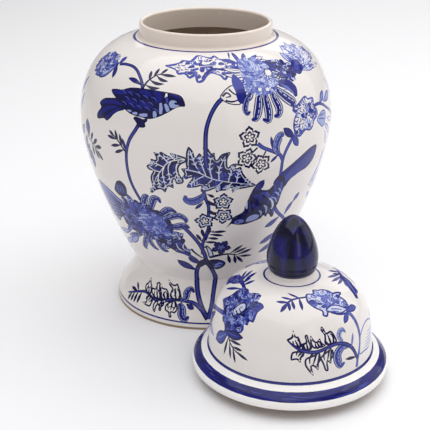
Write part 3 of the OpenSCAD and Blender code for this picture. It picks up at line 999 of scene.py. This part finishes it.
def acanthus_pair(wall):
    """The two jagged leaves in the middle of the scene."""
    spot = Spot(wall, -2, 152)
    left = [(-15, 15.5), (-21, 17.5), (-27, 19), (-31, 19), (-29, 15.5), (-35, 17.5), (-40, 19.8),
        (-43, 17.5), (-48, 18.5), (-45.5, 13.5), (-46, 10.5), (-51, 11), (-51.5, 6.5), (-56, 2.5),
        (-53, -1.5), (-49, -2), (-51.5, -7), (-52, -12), (-51, -18), (-51, -24), (-53.5, -28), (-50, -28),
        (-47, -24.5), (-41, -22.5), (-37, -25.8), (-34.5, -20), (-32.5, -18), (-28, -19.5), (-28.5, -12),
        (-27, -9), (-25, -14), (-19, -13), (-17.5, -9), (-21, -4), (-22.5, 3), (-20, 8), (-15, 11)]
    right = [(-15, 13), (-15, 20), (-12.5, 27), (-8, 22), (-6, 16), (-2, 20.8), (1.5, 17), (2, 24), (6, 26),
        (9.5, 20.5), (12.5, 21), (13, 16), (15, 13.5), (18, 18), (22, 20.3), (28, 20.8), (25.5, 15),
        (25, 9), (26, 5), (29, 8), (34.5, 8.5), (33.5, 3.5), (38.5, 4.5), (40.5, -2), (45, -9), (50, -14.5),
        (56, -19), (48, -20), (38, -20.8), (33, -21.5), (30, -24.5), (29, -18.5), (24, -21), (18, -21.5),
        (14, -23), (13, -18.5), (7, -21), (-1, -22), (-0.5, -15.5), (-6, -17), (-14.5, -17.5), (-13, -12),
        (-9, -6), (-14, -7), (-19.5, -7), (-17, -2), (-20, 3.5), (-15, 4.5), (-15.5, 9)]
    for outline, seed in ((left, 31), (right, 32)):
        jagged(spot, outline, ("ink", "pale", "ink"), (1.9, 2.8))
        curls(spot, outline, 4.8, 2.4, ("cobalt", "ink", "mid", "cobalt", "ink"), seed, 4)
    veins(spot, "pale", 1.2, ([(-16, 3), (-6, 1), (0, -1.5), (10, -7), (24, -11), (38, -14), (52, -18)],
        [(-1, -1), (-5, 6), (-11, 21)], [(4, -3), (1, 6), (-2, 16)], [(10, -7), (8, 4), (9, 16)],
        [(17, -9), (17, 3), (23, 17)], [(26, -11), (28, -3), (31, 5)], [(34, -13), (35, -8), (36, 1)],
        [(2, -4), (-5, -8), (-11, -14)], [(10, -8), (6, -13), (2, -19)], [(20, -11), (16, -15), (15, -20)],
        [(30, -12.5), (26, -16), (24, -19)], [(40, -15), (36, -18), (32, -21)]))
    feathered(spot, "pale", 1.1, 3, ([(-5, 6), (-8, 13), (-11, 21)], [(1, 6), (0, 11), (-2, 16)],
        [(9, 0), (8, 8), (9, 17)], [(17, -4), (17, 4), (22, 16)], [(28, -6), (29, 0), (31, 5)],
        [(34, -10), (36, -4), (37, 1)], [(-3, -8), (-7, -11), (-11, -14)], [(8, -12), (5, -16), (2, -19)],
        [(18, -14), (16, -17), (15, -20)], [(28, -15), (26, -17), (24, -19)],
        [(38, -17), (35, -19), (32, -21)], [(42, -8), (46, -12), (50, -16)],
        [(-26, 2), (-25, -4), (-23, -10)], [(-32, 0), (-32, -8), (-31, -15)],
        [(-38, -4), (-38, -12), (-36, -21)], [(-44, -9), (-43, -15), (-43, -20)],
        [(-30, 12), (-36, 14), (-43, 16)], [(-42, 5), (-47, 6), (-51, 7)],
        [(-48, -14), (-49, -20), (-51, -25)], [(-22, 14), (-26, 16), (-29, 17)]))
    veins(spot, "ink", 1.2, ([(-14, 7), (-7, 5), (-2, 2), (3, -1)], [(5, 12), (5, 5), (7, -2)],
        [(13, 12), (13, 3), (14, -5)], [(21, 12), (21, 2), (22, -6)], [(30, 2), (31, -4), (33, -9)],
        [(-7, -11), (-2, -8), (4, -7)], [(4, -16), (8, -12), (13, -11)], [(18, -18), (22, -14), (27, -13)],
        [(36, -17), (42, -16.5), (48, -18)]))
    veins(spot, "white", 1, ([(-16, 13.5), (-24, 12.5), (-33, 9), (-40, 0), (-46, -10), (-50, -22)],
        [(-22, 12), (-25, 4), (-23, -9)], [(-30, 10.5), (-33, 3), (-31, -14)],
        [(-37, 4), (-39, -4), (-36, -20)], [(-43, -5), (-44, -12), (-42, -19)],
        [(-26, 12.5), (-29, 15), (-30, 17)], [(-33, 9), (-38, 14), (-42, 16)],
        [(-38, 4), (-44, 6), (-50, 8)], [(-42, -2), (-48, -1), (-52, 2)]))
    veins(spot, "ink", 1.1, ([(-18, 10), (-27, 8), (-30, 0), (-28, -6)], [(-36, 0), (-36, -8), (-33, -14)],
        [(-46, 2), (-49, 4), (-47, 8)], [(-47, -14), (-46, -20), (-44, -21)]))
    spot.stem([(4, 30), (4, 22), (4, 15), (5, 6)], 4.6)


def lower_middle(wall):
    """The flowering stem, its sprigs and the two stems that run down to the foot."""
    spot = Spot(wall, 0, 60)
    spot.stem([(-3, 72), (-1, 62), (2, 52), (2, 40), (2, 24), (-1, 12), (-4, 0), (-4, -16)], 3.8)
    hooked_petal(spot, [(-1, 68), (-7, 61), (-14, 57.5), (-20, 59.5), (-21, 65)], 7.6,
        ("ink", "mid", "soft"))
    leaf(spot, (-3, 57), (-11.5, 48), 3.8, DARK)
    leaf(spot, (1, 67), (8, 63), 3.6, ("ink", None, None))
    for x0, y0, x1, y1 in ((1, 58, 9, 54), (2, 46, 10, 42)):
        spot.brush([(x0, y0), ((x0 + x1) / 2, (y0 + y1) / 2 - 1), (x1, y1)], "ink", 4, (1, 1, 1), 3)
    for x, y, radius, turn in ((16.5, 57, 9.6, 15), (17, 38.5, 9.4, 50), (-2, 32.5, 9.4, 30)):
        blossom(spot, x, y, radius, turn, ("ink", "pale", "ink", "white"))
    spot.brush([(-1, 5), (1, 12), (3, 17), (8, 19)], "ink", 1.6, (1.2, 1, 0.5))
    blades(spot, "ink", 3.8, [(5, 17, 20.5, 17.5), (3, 14, 17.5, 11.5), (1, 9, 12.5, 7), (-2, 3, 11, 2),
        (1, 12, 4, 25), (-3, 10, -5, 22), (-5, 4, -10.5, 14.5)])
    spot.stem([(-24, 24), (-17, 15), (-11, 6), (-6, -4), (-2, -16), (0, -30)], 4.8)
    spot.stem([(-32, -13), (-22, -16), (-14, -22), (-6, -32)], 4.6)
    veins(spot, "ink", 2.6, ([(-16, -8), (-12, -14), (-4, -22)], [(-2, -4), (4, -10), (6, -20)]))
    jagged(spot, [(-1, -2), (3, -5), (6.5, -12), (7, -19), (3, -22), (1, -14)], ("ink", "pale", None),
        (1.3, 2))
    blossom(spot, 15, -6, 9.6, 60, ("ink", "cobalt", "ink", "soft"))
    spot.brush([(14, -13), (14, -17), (13, -19)], "ink", 3)
    spot.brush([(3, -21), (12, -18), (22, -17), (32, -20)], "ink", 3.4, (1, 1, 0.8, 0.4))
    blades(spot, "ink", 3.8, [(25, -16, 38.5, -5.5), (28, -17, 43.5, -10.5), (31, -20, 49.5, -14.5),
        (34, -22.5, 50, -25.5), (31, -21, 39.5, -34.5), (29, -19, 31, -34.5), (22, -17, 25, -33)])
    spot.soft([(3, -25), (10, -24), (17, -27), (20, -32), (17, -38), (11, -41), (6, -38), (2, -31)], "ink")
    spot.soft([(8, -28), (13, -27.5), (17.5, -31), (16, -36), (11, -39), (7, -35)], "mid")
    veins(spot, "wash", 1.5, ([(9, -34), (13, -31), (16, -32)], [(8, -37), (12, -35.5), (15, -36)]))
    spot.soft([(4, -27), (9, -26), (12, -29), (7, -31)], "ink")
    leaf(spot, (-11, -42), (-31.5, -27.5), 10, DARK, 0.05)
    leaf(spot, (-7, -32), (-19.5, -21.5), 6.5, DARK)
    spot.stem([(-4, -26), (-8, -34), (-10.4, -44), (-10.6, -54), (-10, -66)], 5.4)
    spot.stem([(1, -26), (4, -36), (7, -45), (9.2, -54), (9.2, -66)], 5.4)
    spot.soft([(-11, -36), (-7, -27), (-1, -22), (3, -26), (7, -38), (3, -40), (-1, -33), (-6, -37)], "ink")
    right = Spot(wall, 43, 82)
    right.stem([(-18, 22), (-12, 13), (-4, 5), (4, -2), (14, -14), (22, -30)], 4.2, "cobalt", "mid")
    wide_leaves = ((-4, 2, -20, -8, 8), (4, 2, 12, 18, 7), (12, 16, 20, 26, 7), (0, -20, -18, -32, 9),
        (4, -34, -14, -46, 8), (10, -36, 26, -20, 9), (16, -20, 34, -12, 8))
    for x0, y0, x1, y1, width in wide_leaves:
        leaf(right, (x0, y0), (x1, y1), width, BLUE, 0.1)


def paint_jar(wall):
    """One half of the painting, seen from the front. The other half repeats it."""
    upper_left(wall)
    perched_bird(Spot(wall, -28, 219))
    upper_middle(wall)
    right_side(wall)
    acanthus_pair(wall)
    lower_left(wall)
    lower_middle(wall)
    diving_bird(Spot(wall, 20.5, 105))


def paint_foot(wall):
    """The foot's part of the painting: the stems run together, with an acanthus sprig."""
    spot = Spot(wall, -20, 30)
    spot.stem([(17, 30), (17, 22), (20, 9), (27, -6), (35.5, -18)], 5.8)
    spot.stem([(36.6, 30), (36.2, 12), (37, -4), (36, -18)], 5.4)
    spot.stem([(34, -15), (26, -7), (18, -1.5), (10, 0), (0, 0.5), (-8, -1), (-20, -5), (-30, -5),
        (-42, -1.5), (-52, -4), (-62, -8), (-74, -13)], 4, "ink", "cobalt", (1.2, 1, 1, 0.8, 0.4))
    lobes(spot, (
        [(3, 1), (2, 7), (-1, 13), (-4, 17.5), (-7, 15.5), (-11, 16.5), (-15, 20), (-13.5, 14), (-9, 10),
         (-11, 5), (-8, 0)],
        [(-11, -1), (-12.5, 6), (-16, 9.5), (-21, 9.5), (-24.5, 13.5), (-24, 7), (-22, 2), (-20, -3)],
        [(-21, -3), (-23.5, 5), (-25.5, 14), (-30, 12), (-29.5, 6.5), (-35, 5.5), (-34.5, 0), (-28, -4)],
        [(-36, -2), (-34.5, 5), (-37.5, 10), (-39.5, 15.5), (-42, 10), (-46, 5.5), (-44.5, 0), (-40, -2)],
        [(-3, -1), (1.5, -9), (-1, -14.5), (-5.5, -14.5), (-4, -19), (-7, -20), (-9, -15), (-13, -13.5),
         (-13.5, -8), (-9, -3)],
        [(-13, -3), (-17.5, -8), (-17.5, -15), (-21, -15), (-21, -9.5), (-24, -12), (-25, -18.5),
         (-28.5, -16), (-28.5, -9), (-23, -4)],
        [(-30, -4), (-31, -11), (-34, -15), (-45, -13.5), (-39, -10.5), (-41, -7), (-37, -3)]))
    veins(spot, "ink", 1.4, ([(-30, 8), (-26, 4), (-27, 0)], [(-17, 6), (-19, 2), (-16, -1)],
        [(-6, 12), (-4, 7), (-6, 3)], [(-2, -10), (-6, -8), (-10, -10)], [(-42, 7), (-40, 3), (-38, 6)]))
    hooked_petal(spot, [(3, -1), (8, 4), (8, 9.5), (12, 13.5), (16, 10)], 6.4, DARK_RIBBED)
    hooked_petal(spot, [(2, -3), (6, -9), (7, -15), (11, -19), (15, -16)], 8, DARK_RIBBED)
    leaf(spot, (10, -3), (19, -8), 6, DARK)
    blades(spot, "ink", 3.8, [(-55, -4, -61.5, 3), (-49, -4, -53.5, -17.5), (-55, -6, -59.5, -18.5),
        (-61, -8, -65, -19), (-66, -10, -72, -20), (-57, -5, -70, -5.5)])


def paint_dome(wall):
    """One half of the painting of the lid."""
    spot = Spot(wall, -54, 60)
    spot.stem([(-13, -12), (-24, -14), (-40, -18), (-60, -25)], 4.4, "cobalt", "mid")
    leaf(spot, (-34, -20), (-62, -44), 13, ("cobalt", "mid", "soft"), 0.1)
    leaf(spot, (-26, -40), (-46, -36), 8, ("soft", "wash", None))
    spot.brush([(-6, 17), (-20, 20), (-34, 17.5), (-48, 10), (-62, 1)], "cobalt", 6.5,
        (0.5, 0.6, 1, 1, 0.5))
    spot.brush([(-30, 17.5), (-42, 12.5), (-56, 4)], "soft", 1.8, (0.4, 1, 0.4))
    blades(spot, "cobalt", 4.2, [(-29, 18, -30.5, 26), (-21, 19, -21, 30), (-17, 19, -13, 32)])
    blades(spot, "cobalt", 3, [(-13, 17, -38, 2.5), (-25, 17, -42, 8)])
    peony = [(-29, -4.5), (-23, 1.5), (-19, 6.5), (-17, 13), (-12, 18.5), (-6, 20.5), (-1, 17), (3, 20.8),
        (11.5, 21), (13, 14), (19, 13), (24, 9), (22, 3), (23.5, -6.5), (19, -7), (19, -11), (15, -11.5),
        (16.5, -16), (14, -20.5), (8, -22), (2, -24), (-6, -25), (-9, -21), (-15, -17.5), (-17, -11.5),
        (-24, -6.5)]
    outlined(spot, peony, "cobalt", "mid", 1.2)
    curls(spot, peony, 3.6, 2.6, ("cobalt", "mid", "soft", "ink", "mid", "wash"), 11, 1.5)
    spot.soft([(-4, -3), (-3, 3), (2, 7), (7, 5), (7, 0), (3, -5), (-1, -6)], "pale")
    veins(spot, "ink", 1.5, ([(-4, -3), (-1, 4), (4, 7), (8, 3), (6, -2), (2, 0), (4, 3)],
        [(-6, 3), (-3, 8), (3, 10.5)], [(-1, -3), (3, -5), (8, -3)], [(-5, -7), (0, -9), (6, -8)]))
    leaf(spot, (-7, -26), (19, -23.5), 9, ("ink", "cobalt", "mid"), -0.04)
    leaf(spot, (-1, -26), (-20, -41), 13, ("cobalt", "mid", "soft"), 0.05)
    spot.brush([(0, -27), (4, -33), (9, -37), (14, -40)], "ink", 1.5, (1, 1, 0.6))
    blades(spot, "ink", 3.0, [(2, -31, 18.5, -31), (8, -36, 20.5, -36), (12, -38.5, 28, -43.5),
        (9, -37, 14, -51), (4, -34, 7.5, -49), (1, -30, -2.5, -49)])

    spot = Spot(wall, 30, 50)
    spot.brush([(-9, 35.5), (-20, 34.5), (-27, 32.5), (-33, 29), (-38, 25)], "cobalt", 1.9, (1.2, 1, 0.6))
    blades(spot, "cobalt", 3.1, [(-19, 34, -27, 41.5), (-26, 33, -37, 34.5), (-32, 29.5, -45, 28),
        (-33, 29, -46, 17.5), (-32, 30, -36.5, 19.5), (-28, 32, -31.5, 21), (-20, 34.5, -24.5, 20)])
    spot.stem([(20, 9), (25, 2), (29, -8), (30.3, -20), (28.4, -30), (25.4, -38), (23.4, -47)], 3.8,
        "cobalt", "soft")
    flower = [(-12, 37), (-9, 39), (-4, 38), (-1, 43), (3, 41), (7, 40), (12, 36), (15, 31), (20, 29.5),
        (25, 26.5), (20, 25), (23, 20), (24.5, 13), (20, 8), (11, 9), (4, 12), (-1, 15), (-4, 11.5),
        (-7.5, 13), (-6.5, 17), (-12, 22), (-15, 28), (-14, 32)]
    jagged(spot, flower, ("mid", "pale", None), (1.1, 2))
    curls(spot, flower, 4, 2.5, ("cobalt", "mid", "soft", "mid", "pale"), 5, 1.5)
    spot.brush(flower + flower[:1], "cobalt", 1.4, (1, 1), 3)
    jagged(spot, [(-3, 17), (4, 20.5), (12, 18.5), (21, 11), (12, 9.5), (4, 12.5)],
        ("cobalt", "pale", None), (1.3, 2))
    veins(spot, "mid", 1.4, ([(3, 17), (8, 15.5), (14, 13)], [(0, 15), (5, 14), (10, 12)]))
    leaf(spot, (19, 9.5), (36, 7), 7, BLUE, 0.1)
    leaf(spot, (21, 9), (11.5, 0), 6.5, BLUE)
    lobes(spot, (
        [(-1, -14), (-1.5, -8), (-5, -2), (-10, -3), (-11, 0), (-13, 3.5), (-15, 0), (-12.5, -5),
         (-13, -14)],
        [(-13, -15), (-16, -11), (-17.5, -7), (-20.5, -9.5), (-23, -8), (-25.5, -3.5), (-27, -10),
         (-24, -16)],
        [(-26, -16), (-27.5, -8), (-28, -2.5), (-31, -3.5), (-31, -9), (-35.5, -11), (-34, -17)],
        [(-36, -14), (-35.5, -9), (-36.5, -4), (-39, -3.5), (-40, 2), (-43, -4), (-48, -7), (-45, -11),
         (-40, -14)],
        [(-7, -18), (-7.5, -26), (-8.5, -33), (-12, -30.5), (-11, -39), (-14.5, -39), (-17, -32),
         (-19, -25), (-12, -20)],
        [(-19, -20), (-20.5, -30), (-21.5, -37), (-24.5, -34), (-27.5, -33), (-26, -42), (-30, -38),
         (-34, -31), (-33, -24.5), (-26, -22)],
        [(-33, -18), (-36.5, -24), (-38, -28.5), (-41, -25.5), (-46.5, -26), (-45, -18.5), (-38, -17)]))
    hooked_petal(spot, [(6, -15), (2.5, -10), (4, -5.5), (8, -4.5), (11, -8)], 4.2,
        ("cobalt", "soft", "pale"))
    hooked_petal(spot, [(13, -21), (5, -20), (-1, -25), (-1, -32), (2, -37.5), (7, -36)], 7.6, INKED_RIBBED)
    spot.stem([(25, -39), (18, -26), (10, -19), (0, -15.5), (-10, -16.5), (-20, -19), (-30, -18.5),
        (-40, -14.5), (-46, -9)], 3.6, "ink", "cobalt", (1, 1.1, 1, 1, 0.5))
    leaf(spot, (16, -25), (20.5, -11), 3, ("mid", "soft", None))
    leaf(spot, (23, -36), (7.5, -33), 3.4, ("ink", None, None))
    pale = [(28, -36), (29, -26), (31, -18), (38, -12.5), (47, -10.5), (58, -13), (66, -19), (60, -31),
        (50, -38), (38, -37)]
    spot.soft(pale, "soft")
    spot.fill(inset(smooth(pale, True, 3), 1.6), "white")
    for k in range(6):
        spot.brush([(36 + 2 * k, -33 + 2.4 * k), (46 + 2 * k, -34 + 2.4 * k), (56 + k, -32 + 2.4 * k)],
            "wash", 1.5, (0.3, 1, 0.4))
    leaf(spot, (42, 28), (60, 12), 11, ("mid", "cobalt", None))
    blades(spot, "cobalt", 2.8, [(54, 33, 29, 45.5), (52, 32, 27, 40.5), (54, 30, 31, 34)])


# ---------------------------------------------------------------- the jar

FRONT_AND_BACK = (0, 180)
AXES = {"jar": (0, 0), "lid": lid_axis}
HALF_STEPS = 48
NECK_LINE = 3.2
BEVEL = 1.5


def paint_both_sides(wall, paint):
    """Paints half a scene at the front and repeats it at the back."""
    for half_turn in FRONT_AND_BACK:
        wall.turn = half_turn
        paint(wall)


def painted_section(name, node, body, wall, span, bands, lining, tone):
    """A turned piece with painting on its outside, between two heights of the wall, and a lining."""
    shell = Shell(AXES[body])
    bottom, top = wall.cut(shell, *span, bands)
    shell.lathe(lining, tone, top, bottom)
    shell.make(name, node, body)


def plain_section(name, node, body, outline, tone):
    """A turned piece without painting, whose outline closes on itself or on the axis."""
    shell = Shell(AXES[body])
    shell.loop(outline, tone)
    shell.make(name, node, body)


rise = neck_base - belly_height
jar_wall = Wall(np.concatenate([
    bezier([(waist_r, waist_height), (waist_r + 16, waist_height + 26),
            (belly_r, belly_height - 51), (belly_r, belly_height)], HALF_STEPS),
    bezier([(belly_r, belly_height), (belly_r, belly_height + rise * 0.56),
            (neck_base_r + 39, neck_base - 6.5), (neck_base_r, neck_base)], HALF_STEPS)[1:]]))
seam_up = jar_wall.up[HALF_STEPS]
paint_both_sides(jar_wall, paint_jar)

body_lining = np.concatenate([
    [(belly_r, belly_height)],
    bezier([(belly_r - WALL, belly_height), (belly_r - WALL, belly_height - 51),
            (waist_r + 9, waist_height + 30), (socket_r, floor_top)]),
    [(socket_r, waist_height), (waist_r, waist_height)]])
painted_section("glazed_body", "jar_body", "jar", jar_wall, (0, seam_up), (), body_lining, "inside")

neck_line = (jar_wall.length - NECK_LINE, jar_wall.length - 0.4, "cobalt")
shoulder_lining = np.concatenate([
    [(neck_base_r, neck_base), (mouth_r, neck_base)],
    bezier([(mouth_r, neck_base - WALL), (mouth_r + 40, neck_base - WALL - 6.5),
            (belly_r - WALL, belly_height + rise * 0.52), (belly_r - WALL, belly_height)]),
    [(belly_r, belly_height)]])
painted_section("glazed_shoulder", "jar_shoulder", "jar", jar_wall, (seam_up, jar_wall.length),
                [neck_line], shoulder_lining, "inside")


def neck_tone(start, end):
    """The bore is glazed like the inside; the rest of the neck gets a warmer, darker copy of the white glaze,
    which is painted shade.
    """
    return "inside" if start[0] + end[0] < 2 * mouth_r + 0.01 and start[1] != end[1] else "cream"


cove = neck_base_r - mouth_r - LIP
neck_outline = np.concatenate([
    [(mouth_r, neck_base)],
    arc((neck_base_r, neck_base + cove), cove, -90, -180),
    arc((mouth_r + LIP / 2, rim_height - LIP / 2), LIP / 2, 0, 180, 14),
    [(mouth_r, neck_base)]])
plain_section("plain_neck", "jar_neck", "jar", neck_outline, neck_tone)

floor_outline = [(0, waist_height), (socket_r, waist_height), (socket_r, floor_top), (0, floor_top)]
plain_section("inside_floor", "jar_floor", "jar", floor_outline, "inside")


def foot_tone(start, end):
    """The rim the jar stands on is left bare."""
    return "bare" if start[1] < FOOT_EDGE + 0.01 and end[1] < FOOT_EDGE + 0.01 else "inside"


foot_wall = Wall(np.concatenate([
    [(foot_r, 0)],
    bezier([(foot_r, FOOT_EDGE), (foot_r, 18), (waist_r + 5, 29), (waist_r, waist_height)], 40)]))
paint_both_sides(foot_wall, paint_foot)
foot_bands = [(0, BARE_EDGE, "bare"), (6.4, 8.2, "cobalt")]
foot_lining = np.concatenate([
    [(waist_r, waist_height)],
    bezier([(waist_r - 13, waist_height), (waist_r - 13, 30), (foot_r - FOOT_LAND, 20),
            (foot_r - FOOT_LAND, FOOT_EDGE)]),
    [(foot_r - FOOT_LAND, 0), (foot_r, 0)]])
painted_section("spread_foot", "jar_foot", "jar", foot_wall, (0, foot_wall.length), foot_bands,
                foot_lining, foot_tone)


# ---------------------------------------------------------------- the lid

brim_edge_r = lid_r - BRIM_ROLL
brim_base = low("lid_brim")
brim_edge_height = brim_base + BRIM_ROLL
dome_tall = dome_top - dome_base


def dome_tone(_, end):
    """The flat crown is glazed white, the hollow like the inside of the jar."""
    return "white" if end[1] == dome_top else "inside"


dome_wall = Wall(bezier([(dome_r, dome_base), (dome_r - 1.7, dome_base + dome_tall * 0.49),
                         (dome_r - 7, dome_top - 2), (crown_r, dome_top)], 60))
paint_both_sides(dome_wall, paint_dome)
dome_bands = [(0, 1.8, "cobalt"), (dome_wall.length - 2.2, dome_wall.length - 0.3, "cobalt")]
dome_lining = np.concatenate([
    [(crown_r, dome_top), (VENT_R, dome_top), (VENT_R, dome_top - WALL)],
    bezier([(crown_r, dome_top - WALL), (dome_r - 13, dome_top - WALL - 2),
            (dome_r - 1.7 - WALL, dome_base + dome_tall * 0.45), (dome_r - WALL, dome_base)]),
    [(dome_r, dome_base)]])
painted_section("glazed_dome", "lid_dome", "lid", dome_wall, (0, dome_wall.length), dome_bands,
                dome_lining, dome_tone)


def paint_brim(wall):
    """The cobalt band round the brim, laid on with a wide brush in overlapping strokes."""
    top = wall.length
    choose = random.Random(8)
    steps = 120
    around = [-180 + 360 * k / steps for k in range(steps + 1)]
    bands = ((8.1, 18.2, "brim", 0.12), (8.5, 10.4, "cobalt", 0.2),
                                       (16, 17.9, "cobalt", 0.2))
    for inner, outer, tone, wobble in bands:
        upper = [top - inner + choose.uniform(-wobble, wobble) for _ in range(steps)]
        lower = [top - outer + choose.uniform(-wobble, wobble) for _ in range(steps)]
        for k in range(steps):
            here, there = around[k:k + 2]
            after = (k + 1) % steps
            wall.paint([(here, upper[k]), (here, lower[k]), (there, lower[after]), (there, upper[after])],
                tone)
    for k in range(240):
        start = 1.5 * k + choose.uniform(-2, 2)
        up = top - choose.uniform(8.8, 17.5)
        spot = Spot(wall, start, up)
        length = choose.uniform(8, 26)
        spot.brush([(0, 0), (length / 2, choose.uniform(-0.3, 0.3)), (length, 0)],
            choose.choice(("cobalt", "brim", "ink", "cobalt", "brim", "mid")), choose.uniform(0.4, 1.3))


brim_wall = Wall(np.concatenate([
    arc((brim_edge_r, brim_edge_height), BRIM_ROLL, -90, 0, 12),
    bezier([(lid_r, brim_edge_height), (lid_r - 1, brim_edge_height + 7),
            (dome_r + 7, dome_base - 3.5), (dome_r, dome_base)], 30)[1:]]))
# The unpainted brim gets the lighter copy of the white glaze: painted light.
brim_wall.ground = "bright"
paint_brim(brim_wall)
brim_line = (brim_wall.length - 1.4, brim_wall.length, "cobalt")
brim_lining = np.concatenate([
    [(dome_r, dome_base), (dome_r - WALL, dome_base), (ring_r + 8, dome_base - 4),
     (ring_inner_r, seat + 5), (ring_inner_r, seat), (ring_r + 10, seat)],
    bezier([(ring_r + 10, seat), (ring_r + 21, seat), (brim_edge_r - 5, brim_base),
            (brim_edge_r, brim_base)], 16)[1:]])
painted_section("glazed_brim", "lid_brim", "lid", brim_wall, (0, brim_wall.length), [brim_line],
                brim_lining, "inside")

ring_outline = [(ring_inner_r, seat), (ring_inner_r, BEVEL), (ring_inner_r + BEVEL, 0),
                (ring_r - BEVEL, 0), (ring_r, BEVEL), (ring_r, seat), (ring_inner_r, seat)]
plain_section("locating_ring", "lid_locating_ring", "lid", ring_outline, "inside")

collar_outline = np.concatenate([
    [(VENT_R, dome_top)],
    arc((collar_r + COLLAR_COVE, dome_top + COLLAR_COVE), COLLAR_COVE, -90, -180),
    [(collar_r, knob_base), (VENT_R, knob_base), (VENT_R, dome_top)]])
plain_section("finial_collar_ring", "finial_collar", "lid", collar_outline, "white")

KNOB_WALL = 5.5
knob_belly = knob_base + (knob_top - knob_base) / 4
knob_hollow_r = knob_r - KNOB_WALL
knob_outline = np.concatenate([
    bezier([(collar_r, knob_base), (collar_r + 2.8, knob_base + 2.5),
            (knob_r, knob_belly - 6), (knob_r, knob_belly)], 20),
    bezier([(knob_r, knob_belly), (knob_r, knob_belly + 16),
            (knob_r / 2, knob_top), (0, knob_top)], 44)[1:]])
knob_hollow = np.concatenate([
    bezier([(0, knob_top - KNOB_WALL), (knob_hollow_r / 2, knob_top - KNOB_WALL),
            (knob_hollow_r, knob_belly + 14), (knob_hollow_r, knob_belly)], 16),
    bezier([(knob_hollow_r, knob_belly), (knob_hollow_r, knob_belly - 5),
            (knob_hollow_r - 4, knob_base + KNOB_WALL), (VENT_R, knob_base + KNOB_WALL)], 8)[1:],
    [(VENT_R, knob_base)]])
knob_shell = Shell(lid_axis)
knob_shell.loop(knob_outline, "knob")
knob_shell.loop(np.concatenate([knob_hollow, [(collar_r, knob_base)]]), "knob")
knob_shell.make("cobalt_knob", "finial_knob", "lid", {"knob": KNOB_GLAZE})


# ---------------------------------------------------------------- table, lights and camera

def add_floor():
    """A wide pale table top."""
    mesh = bpy.data.meshes.new("table")
    half = 4
    corners = [(-half, -half, 0), (half, -half, 0), (half, half, 0), (-half, half, 0)]
    mesh.from_pydata(corners, [], [(0, 1, 2, 3)])
    table = bpy.data.objects.new("table", mesh)
    bpy.context.scene.collection.objects.link(table)
    material, _, _, _ = new_material("pale_table", linear(248, 248, 250), 0.6)
    mesh.materials.append(material)


def add_light(name, place, aim, size, power, colour=(1, 1, 1)):
    """A soft square light pointed at a place."""
    data = bpy.data.lights.new(name, "AREA")
    data.shape = "RECTANGLE"
    data.size = size[0]
    data.size_y = size[1]
    data.energy = power
    data.color = colour
    light = bpy.data.objects.new(name, data)
    light.location = place
    light.rotation_euler = (Vector(aim) - Vector(place)).to_track_quat("-Z", "Y").to_euler()
    bpy.context.scene.collection.objects.link(light)


WARM = (1, 0.94, 0.88)

add_floor()
add_light("top_softbox", (0.1, -0.1, 1.9), (0.05, -0.05, 0), (3.6, 3.0), 46)
add_light("right_softbox", (1.9, 0.2, 1.0), (0, 0, 0.1), (1.8, 1.8), 9)
add_light("back_softbox", (0.8, 2.9, 1.5), (0.5, 2.0, 0), (3.2, 1.4), 16)
add_light("strip_softbox", (0.85, -1.8, 0.75), (0.05, 0, 0.1), (0.5, 1.3), 2, WARM)
add_light("left_softbox", (-1.3, -1.6, 0.7), (0, 0, 0.1), (1.6, 1.3), 1, WARM)

world = bpy.data.worlds.new("studio")
world.use_nodes = True
world.node_tree.nodes["Background"].inputs["Color"].default_value = (1, 0.98, 0.97, 1)
world.node_tree.nodes["Background"].inputs["Strength"].default_value = 0.32
bpy.context.scene.world = world

CAMERA_PLACE = (0, -1.091, 0.5414)
CAMERA_DIP = 22.452
CAMERA_PAN = -0.499
FOCAL_LENGTH = 88.358
camera_data = bpy.data.cameras.new("camera")
camera_data.sensor_width = 36
camera_data.lens = FOCAL_LENGTH
camera = bpy.data.objects.new("camera", camera_data)
camera.location = CAMERA_PLACE
camera.rotation_euler = (math.radians(90 - CAMERA_DIP), 0, math.radians(CAMERA_PAN))
bpy.context.scene.collection.objects.link(camera)
bpy.context.scene.camera = camera
bpy.context.scene.view_settings.view_transform = "Standard"
